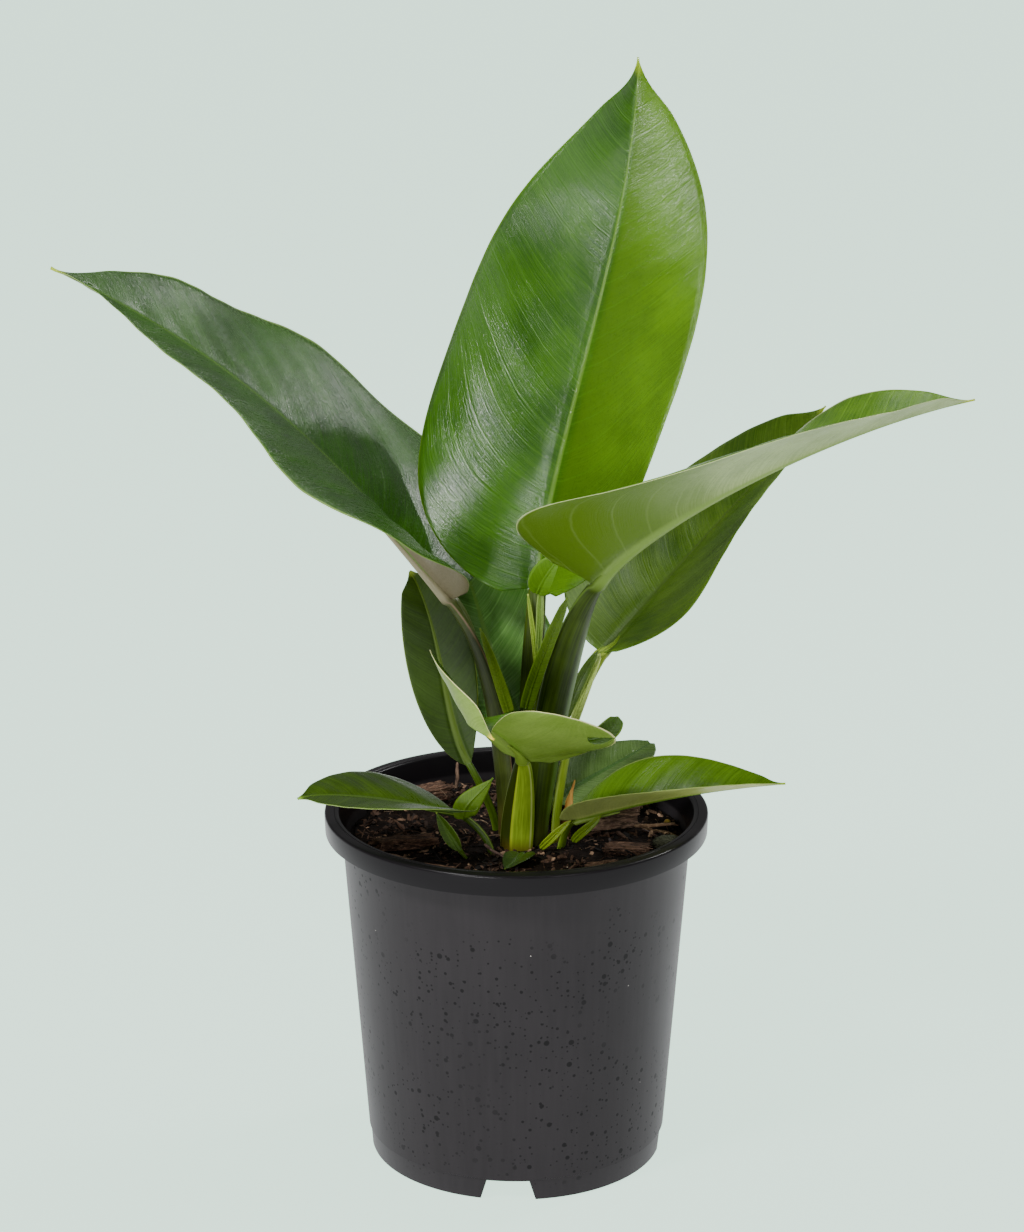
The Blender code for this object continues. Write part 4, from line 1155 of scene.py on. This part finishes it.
right_leaf = Leaf(
    "right_leaf", midrib=((40, -21, 145), (60, -38, 186), (166, -26, 229), (231, 5, 235)), half_width=82,
    facing=(0, 0, 1), roll=(-7, -10, -3), fold_left=(45, 11, 45), fold_right=(68, 31, 50),
    camber=(-26, -40), outline=(0.47, 1.18), foot=(11, -9), stalk_half_width=(5, 9, 13, 4.2),
    stalk_half_depth=(1.8, 2, 2.4, 3.6), sheath_wrap=3, sheath_back=-75, lobe=0.01, wave=(4.5, 1.4, 32.8),
    rib_width=3.2, rib_depth=4.2, keel=0.42, veins=16.0, ripple=0.25,
)
put_on(
    right_leaf, "mature_leaf", upper=((0.032, 0.098, 0.001), (0.107, 0.231, 0.009)),
    under=((0.150, 0.223, 0.061), (0.332, 0.423, 0.175)),
    stalk=((0.013, 0.025, 0.001), (0.048, 0.084, 0.004)), rib=(0.162, 0.262, 0.045),
    rim=(0.515, 0.610, 0.262), tip=(0.429, 0.515, 0.021), upper_finish=dict(rough=0.33),
    under_finish=dict(
        rough=0.46, base=(0.072, 0.138, 0.004), base_until=0.42, vein_share=0.06, relief=0.3, rib_width=0.03,
    ),
    keel=(0.138, 0.231, 0.032), edge=(0.102, 0.188, 0.021), low=(0.034, 0.040, 0.004),
    panels=((0.5, 0.62, 0.06, (0.089, 0.175, 0.025)),),
)
put_flap(
    "right_leaf_sheath", right_leaf, deep=(0.037, 0.076, 0.002),
    fresh=(0.089, 0.162, 0.007), back=(0.045, 0.102, 0.003), rim=(0.089, 0.162, 0.007),
    midrib=((4.9, -15.0, 78.0), (9.4, -18.0, 98.2), (17.6, -21.0, 117.8), (25.6, -24.0, 140.0)),
    half_width=3.8, outline=(0.1, 0.35),
)

# ---------------------------------------------------------------- right rear leaf
# A darker leaf behind, on a slim stalk with a hooked sheath tip.

right_rear_leaf = Leaf(
    "right_rear_leaf", midrib=((45, 33, 93), (64, 60, 106), (102, 84, 144), (165, 96, 211)),
    half_width=54, facing=(0, -1, 0.6), roll=(-9, -31, -26), fold_left=(15, 3, 13),
    fold_right=(43, 41, 38), camber=(-12, -6), outline=(0.58, 0.97), foot=(20, -3),
    stalk_half_width=(3, 3.5, 6, 3.6), stalk_half_depth=(1.8, 2, 2, 2.6), sheath_wrap=0.5,
    sheath_back=-30, rise=20, wave=(1.2, 1.1, 33), rib_width=2.0, rib_depth=1.6, veins=12.0, ripple=0.35,
)
put_on(
    right_rear_leaf, "dark_leaf", upper=((0.048, 0.117, 0.004), (0.150, 0.270, 0.025)),
    under=((0.045, 0.102, 0.021), (0.102, 0.188, 0.061)),
    stalk=((0.156, 0.262, 0.009), (0.305, 0.413, 0.032)), rib=(0.089, 0.162, 0.016),
    rim=(0.156, 0.262, 0.045), tip=(0.376, 0.485, 0.032), upper_finish=dict(rough=0.36, vein_share=0.12),
    under_finish=dict(rough=0.5, vein_share=0.05), keel=(0.156, 0.262, 0.021), low=(0.188, 0.162, 0.021),
)
put_flap(
    "right_rear_leaf_sheath", right_rear_leaf, deep=(0.025, 0.054, 0.002),
    fresh=(0.061, 0.122, 0.005), back=(0.045, 0.102, 0.003), rim=(0.089, 0.162, 0.007),
    midrib=((22.6, 2.0, 61.9), (27.7, 7.8, 73.2), (32.5, 4.7, 88.9), (42.6, 24.0, 96.9)), half_width=3.2,
    outline=(0.3, 0.5),
)
put_flap(
    "right_rear_leaf_sheath_inner", right_rear_leaf, deep=(0.223, 0.332, 0.032),
    fresh=(0.434, 0.552, 0.156), back=(0.223, 0.332, 0.032), rim=(0.578, 0.672, 0.262),
    midrib=((27.8, 2.0, 58.1), (30.7, 4.3, 68.2), (38.0, 6.7, 88.7), (43.7, 27.0, 94.8)), half_width=2.6,
    outline=(0.2, 0.3),
)
put_flap(
    "right_rear_leaf_hook", right_rear_leaf, deep=(0.127, 0.238, 0.007),
    fresh=(0.305, 0.434, 0.045), back=(0.127, 0.238, 0.007), rim=(0.305, 0.434, 0.045),
    midrib=((42.1, 26.0, 95.1), (46.0, 27.2, 97.1), (51.5, 31.3, 97.2), (53.8, 34.0, 102.0)),
    half_width=1.1,
)

# ---------------------------------------------------------------- rear leaf
# A small glossy leaf behind the stalks.

rear_leaf = Leaf(
    "rear_leaf", midrib=((1, 32, 56), (-16, 46, 88), (-22, 68, 124), (-36, 88, 146)), half_width=35,
    facing=(0, -1, 0.5), roll=(-5, -3, 2), fold_left=(15, 15, 15), fold_right=(20, 18, 13),
    camber=(-8, -8), outline=(0.55, 1.05), foot=(3, 17), stalk_half_width=(4, 4, 4, 3),
    stalk_half_depth=(2, 2, 2, 2.2), sheath_wrap=0.5, sheath_back=90, rise=20, bend=12, lobe=0.03,
    rib_width=1.5, rib_depth=1.0, veins=9.0, ripple=0.3,
)
put_on(
    rear_leaf, "dark_leaf", upper=((0.045, 0.138, 0.013), (0.144, 0.305, 0.068)),
    under=((0.045, 0.102, 0.021), (0.102, 0.188, 0.061)),
    stalk=((0.045, 0.102, 0.005), (0.127, 0.262, 0.017)), rib=(0.102, 0.205, 0.032),
    rim=(0.156, 0.262, 0.045), tip=(0.262, 0.402, 0.045), upper_finish=dict(rough=0.24),
    under_finish=dict(rough=0.5, vein_share=0.05),
)

# ---------------------------------------------------------------- left rear leaf
# A narrow upright leaf on a thin stalk at the back left.

left_rear_leaf = Leaf(
    "left_rear_leaf", midrib=((-25, 15, 38), (-39, 26, 59), (-38, 33, 108), (-56, 53, 132)),
    half_width=18, facing=(0, -1, 0.4), roll=(-3, 3, 0), fold_left=(15, 17, 15), fold_right=(17, 15, 15),
    camber=(-8, -8), outline=(0.7, 0.62), foot=(-10, 14), stalk_half_width=(2.4, 2.2, 2, 1.8),
    stalk_half_depth=(1.6, 1.6, 1.6, 1.6), sheath_wrap=0, sheath_back=120, rise=12, bend=8, rib_width=1.2,
    rib_depth=0.9, veins=8.0, ripple=0.15,
)
put_on(
    left_rear_leaf, "dark_leaf", upper=((0.013, 0.032, 0.000), (0.032, 0.072, 0.001)),
    under=((0.045, 0.080, 0.013), (0.102, 0.156, 0.045)),
    stalk=((0.032, 0.068, 0.002), (0.080, 0.150, 0.005)), rib=(0.065, 0.112, 0.004),
    rim=(0.188, 0.262, 0.026), tip=(0.188, 0.262, 0.021),
    upper_finish=dict(rough=0.55, vein_share=0.06, relief=0.15),
    under_finish=dict(rough=0.5, vein_share=0.05), keel=(0.040, 0.076, 0.004),
)

# ---------------------------------------------------------------- young front leaf
# The youngest leaf, still folded along its rib and arched over at the front, on a broad
# light green sheath. Its margins are edged in creamy yellow.

young_front_leaf = Leaf(
    "young_front_leaf", midrib=((3, -30, 55), (1, -54, 82), (-46, -94, 107), (-11, -115, 95)),
    half_width=56, facing=(0, 0, 1), roll=(-12, -11, -33), fold_left=(24, 24, 42),
    fold_right=(23, 22, 66), camber=(-3, 15), outline=(0.51, 0.98), foot=(0, -15),
    stalk_half_width=(8, 10, 6, 3.6), stalk_half_depth=(1.8, 2, 2, 2.4), sheath_wrap=1.5, sheath_back=-90,
    rise=18, bend=12, lobe=0.06, rib_width=2.0, rib_depth=1.8, veins=11.0, ripple=0.2,
)
put_on(
    young_front_leaf, "young_leaf", upper=((0.030, 0.089, 0.002), (0.072, 0.181, 0.004)),
    under=((0.107, 0.188, 0.016), (0.202, 0.305, 0.054)),
    stalk=((0.107, 0.175, 0.004), (0.246, 0.361, 0.025)), rib=(0.117, 0.216, 0.021),
    rim=(0.776, 0.761, 0.352), tip=(0.807, 0.658, 0.045), upper_finish=dict(rough=0.35, relief=0.15),
    under_finish=dict(rough=0.45, vein_share=0.02, relief=0.12), keel=(0.156, 0.246, 0.027),
    low=(0.117, 0.089, 0.007),
    panels=(
        # This near-black panel is painted shade down one side of the sheath.
        (0.815, 0.99, 0.02, (0.021, 0.032, 0.001)),
        (0.8, 0.815, 0.01, (0.305, 0.402, 0.021)),
        (0.585, 0.605, 0.01, (0.402, 0.503, 0.127)),
    ),
)
# The curl is a real fold of the leaf; its darker greens are painted shade inside the curl.
put_flap(
    "young_front_leaf_curl", young_front_leaf, deep=(0.018, 0.048, 0.001),
    fresh=(0.040, 0.098, 0.002), back=(0.045, 0.102, 0.003), rim=(0.089, 0.162, 0.007),
    midrib=((35.5, -62.0, 78.0), (41.5, -64.0, 78.5), (48.5, -63.0, 83.0), (50.5, -58.0, 88.0)),
    half_width=5.2, outline=(0.5, 0.4),
)

# ---------------------------------------------------------------- low left leaf
# A small dark leaf close to the mix, lying out over the rim to the left.

low_left_leaf = Leaf(
    "low_left_leaf", midrib=((-30, -20, 23), (-33, -27, 27), (-95, -37, 44), (-111, -43, 39)),
    half_width=29.4, facing=(0, -0.4, 1), roll=(25, 15, 9), fold_left=(19, 19, 3), fold_right=(10, 14, 9),
    camber=(-6, -22), outline=(0.59, 0.91), foot=(-12.5, -21), stalk_half_width=(2, 2, 2, 2),
    stalk_half_depth=(1.8, 1.8, 1.8, 1.8), sheath_wrap=0, sheath_back=-140, rise=14, bend=9, lobe=0.03,
    rib_width=1.4, rib_depth=1.0, veins=9.0, ripple=0.25,
)
put_on(
    low_left_leaf, "dark_leaf", upper=((0.019, 0.045, 0.002), (0.061, 0.122, 0.009)),
    under=((0.045, 0.102, 0.021), (0.102, 0.188, 0.061)),
    stalk=((0.019, 0.040, 0.002), (0.051, 0.102, 0.006)), rib=(0.080, 0.150, 0.018),
    rim=(0.305, 0.434, 0.117), tip=(0.188, 0.352, 0.021), upper_finish=dict(rough=0.3, vein_share=0.1),
    under_finish=dict(rough=0.5, vein_share=0.05),
)
put_flap(
    "low_left_leaf_lobe", low_left_leaf, deep=(0.040, 0.089, 0.001),
    fresh=(0.089, 0.168, 0.004), back=(0.045, 0.102, 0.003), rim=(0.089, 0.162, 0.007),
    midrib=((-27.4, -24.0, 21.4), (-28.4, -26.8, 29.4), (-18.7, -23.7, 34.6), (-12.0, -19.0, 41.9)),
    half_width=6.4, outline=(0.35, 1.05), fold=-10,
)

# ---------------------------------------------------------------- low right leaf
# A small leaf over the right side of the pot, folded like a gutter; its near half shows
# its olive underside under a pale edge.

low_right_leaf = Leaf(
    "low_right_leaf", midrib=((30, -13, 16), (65, -21, 31), (103, -31, 40), (137, -34, 44)),
    half_width=27, facing=(0, 0, 1), roll=(-3, 13, 3), fold_left=(22, 35, 17), fold_right=(45, 48, 34),
    camber=(-12, -17), outline=(0.55, 1.01), foot=(23, -12), stalk_half_width=(2.6, 2.6, 2.6, 2.4),
    stalk_half_depth=(1.6, 1.6, 1.6, 1.8), sheath_wrap=0, sheath_back=-45, rise=5, bend=5, lobe=0.05,
    rib_width=1.6, rib_depth=1.2, veins=9.0, ripple=0.2,
)
put_on(
    low_right_leaf, "young_leaf", upper=((0.032, 0.080, 0.000), (0.084, 0.181, 0.002)),
    under=((0.223, 0.270, 0.054), (0.352, 0.413, 0.117)),
    stalk=((0.051, 0.098, 0.003), (0.156, 0.246, 0.009)), rib=(0.076, 0.162, 0.007),
    rim=(0.305, 0.402, 0.102), tip=(0.262, 0.402, 0.021), upper_finish=dict(rough=0.3, vein_share=0.1),
    under_finish=dict(rough=0.46, vein_share=0.04, relief=0.15), keel=(0.156, 0.238, 0.032),
)
put_flap(
    "low_right_leaf_sheath", low_right_leaf, deep=(0.117, 0.181, 0.003),
    fresh=(0.162, 0.238, 0.006), back=(0.089, 0.138, 0.002), rim=(0.188, 0.262, 0.009),
    midrib=((12.5, -18.0, 3.0), (17.0, -20.0, 8.0), (22.0, -21.0, 14.0), (28.0, -20.0, 19.0)),
    half_width=2.3, outline=(0.3, 0.5),
)
put_flap(
    "low_right_leaf_flap", low_right_leaf, deep=(0.076, 0.127, 0.002),
    fresh=(0.107, 0.175, 0.004), back=(0.054, 0.098, 0.002), rim=(0.127, 0.202, 0.005),
    midrib=((29.2, -22.0, 8.2), (32.5, -24.2, 13.8), (36.5, -26.3, 16.6), (43.4, -24.0, 22.9)),
    half_width=2.4, outline=(0.3, 0.5),
)

# ---------------------------------------------------------------- low right rear leaf
# A short bluish leaf that has lost its tip; it carries a few corky scars.

low_right_rear_leaf = Leaf(
    "low_right_rear_leaf", midrib=((20, 30, 12), (36, 36, 22), (58, 48, 28), (75, 65, 34)), half_width=20,
    facing=(0, -0.6, 1), roll=(-8, -2, -4), fold_left=(4, 2, -6), fold_right=(15, 15, 15),
    camber=(-8, -8), outline=(0.53, 0.82), foot=(14, 22), stalk_half_width=(2.4, 2.4, 2.2, 2),
    stalk_half_depth=(1.6, 1.6, 1.6, 1.6), sheath_wrap=0, sheath_back=60, rise=5, bend=4, blunt=0.94,
    rib_width=1.2, rib_depth=0.8, veins=8.0, ripple=0.25,
)
put_on(
    low_right_rear_leaf, "dark_leaf", upper=((0.045, 0.093, 0.018), (0.117, 0.202, 0.054)),
    under=((0.045, 0.102, 0.021), (0.102, 0.188, 0.061)),
    stalk=((0.045, 0.091, 0.007), (0.102, 0.188, 0.013)), rib=(0.042, 0.102, 0.023),
    rim=(0.127, 0.202, 0.072), tip=(0.188, 0.223, 0.102),
    upper_finish=dict(rough=0.28, scars=0.06, vein_share=0.08),
    under_finish=dict(rough=0.5, vein_share=0.05),
)

# ---------------------------------------------------------------- small side leaf
# A strip of a leaf beside the low left one.

small_side_leaf = Leaf(
    "small_side_leaf", midrib=((-29, -29, 6), (-33, -28, 12), (-37, -28, 19), (-41, -27, 26)),
    half_width=4, facing=(0, -1, 0.5), roll=(-20, -20, -20), fold_left=(25, 25, 20),
    fold_right=(25, 25, 20), camber=(-6, -6), outline=(0.6, 0.9), foot=(-25, -26),
    stalk_half_width=(1.4, 1.4, 1.3, 1.2), stalk_half_depth=(1.1, 1.1, 1.1, 1.1), sheath_wrap=0,
    sheath_back=-140, rise=2, bend=2, rib_width=0.6, rib_depth=0.3, veins=5.0, ripple=0.05,
)
put_on(
    small_side_leaf, "young_leaf", upper=((0.021, 0.054, 0.002), (0.065, 0.127, 0.007)),
    under=((0.045, 0.102, 0.013), (0.102, 0.188, 0.032)),
    stalk=((0.045, 0.091, 0.007), (0.102, 0.188, 0.013)), rib=(0.080, 0.156, 0.021),
    rim=(0.305, 0.434, 0.102), tip=(0.305, 0.429, 0.045), upper_finish=dict(rough=0.4),
    under_finish=dict(rough=0.5),
)

# ---------------------------------------------------------------- low front leaf
# A small dark leaf that lies on the mix in front of the crown.

low_front_leaf = Leaf(
    "low_front_leaf", midrib=((3, -26, 3.2), (3, -33, 4.8), (0, -42, 5), (-6, -51, 4)), half_width=8,
    facing=(0, 0, 1), roll=(0, 4, 6), fold_left=(16, 18, 12), fold_right=(16, 18, 12), camber=(-10, -10),
    outline=(0.5, 0.9), foot=(3, -21), stalk_half_width=(1.6, 1.6, 1.5, 1.4),
    stalk_half_depth=(1.1, 1.1, 1.1, 1.1), sheath_wrap=0, sheath_back=-90, rise=1, bend=2, rib_width=0.8,
    rib_depth=0.4, veins=6.0, ripple=0.1,
)
put_on(
    low_front_leaf, "dark_leaf", upper=((0.008, 0.021, 0.002), (0.021, 0.051, 0.004)),
    under=((0.021, 0.045, 0.004), (0.045, 0.080, 0.010)),
    stalk=((0.013, 0.032, 0.002), (0.038, 0.080, 0.005)), rib=(0.027, 0.065, 0.005),
    rim=(0.054, 0.098, 0.007), tip=(0.080, 0.127, 0.013), upper_finish=dict(rough=0.35),
    under_finish=dict(rough=0.5),
)

# ---------------------------------------------------------------- studio
# A plain pale floor, wide soft lights and the camera.

LEVEL_VIEW = 16.6


def softbox(name, place, aim, size, power, colour=(1, 1, 1)):
    lamp = bpy.data.lights.new(name, "AREA")
    lamp.shape = "RECTANGLE"
    lamp.size, lamp.size_y = size
    lamp.energy = power
    lamp.color = colour
    made = bpy.data.objects.new(name, lamp)
    bpy.context.scene.collection.objects.link(made)
    made.location = place
    made.rotation_euler = (Vector(aim) - Vector(place)).to_track_quat("-Z", "Y").to_euler()
    return made


def pale_paint():
    p = Paint("pale_floor")
    p.put(p.shader.inputs["Base Color"], (0.13, 0.135, 0.13))
    p.put(p.shader.inputs["Roughness"], 0.9)
    seen = p.node("LightPath")
    p.put(p.shader.inputs["Emission Color"], p.mix(seen, (1.3, 1.36, 1.36), (1.3, 1.84, 1.54)))
    p.shader.inputs["Emission Strength"].default_value = 1.0
    return p.material


bm = bmesh.new()
bmesh.ops.create_circle(bm, cap_ends=True, segments=64, radius=14.0)
ground = finish_mesh(bm, "floor")
ground.location.z = -0.0005
ground.data.materials.append(pale_paint())

softbox("key", (-1.3, -1.34, 2.3), (0, 0, 0.3), (0.5, 0.5), 64)
softbox("low_left", (-0.34, -0.86, 0.36), (0.02, 0.06, 0.49), (0.28, 0.13), 4.0)
softbox("right_front", (1.1, -1.9, 1.5), (0, 0, 0.3), (0.5, 0.9), 10)
softbox("right_rear", (1.35, 0.85, 1.6), (-0.1, 0, 0.4), (0.3, 0.3), 22)
softbox("overhead", (0.1, 0.3, 2.3), (0, 0, 0.3), (0.8, 0.8), 16)
world = bpy.data.worlds.new("pale_room")
world.use_nodes = True
seen = world.node_tree.nodes.new("ShaderNodeLightPath")
shown = world.node_tree.nodes.new("ShaderNodeMix")
shown.data_type = "RGBA"
shown.inputs[6].default_value = (0.252, 0.252, 0.252, 1)
shown.inputs[7].default_value = (1.4, 1.95, 1.64, 1)
world.node_tree.links.new(seen.outputs["Is Camera Ray"], shown.inputs[0])
world.node_tree.links.new(shown.outputs[2], world.node_tree.nodes["Background"].inputs["Color"])
world.node_tree.nodes["Background"].inputs["Strength"].default_value = 1.0
bpy.context.scene.world = world

lens = bpy.data.cameras.new("camera")
lens.lens = 96.43
lens.sensor_width = 36.0
lens.clip_end = 60.0
camera = bpy.data.objects.new("camera", lens)
bpy.context.scene.collection.objects.link(camera)
camera.location = (-0.00225, -1.62, 0.774)
camera.rotation_euler = (math.radians(90 - LEVEL_VIEW), 0, 0)
bpy.context.scene.camera = camera

bpy.context.view_layer.update()
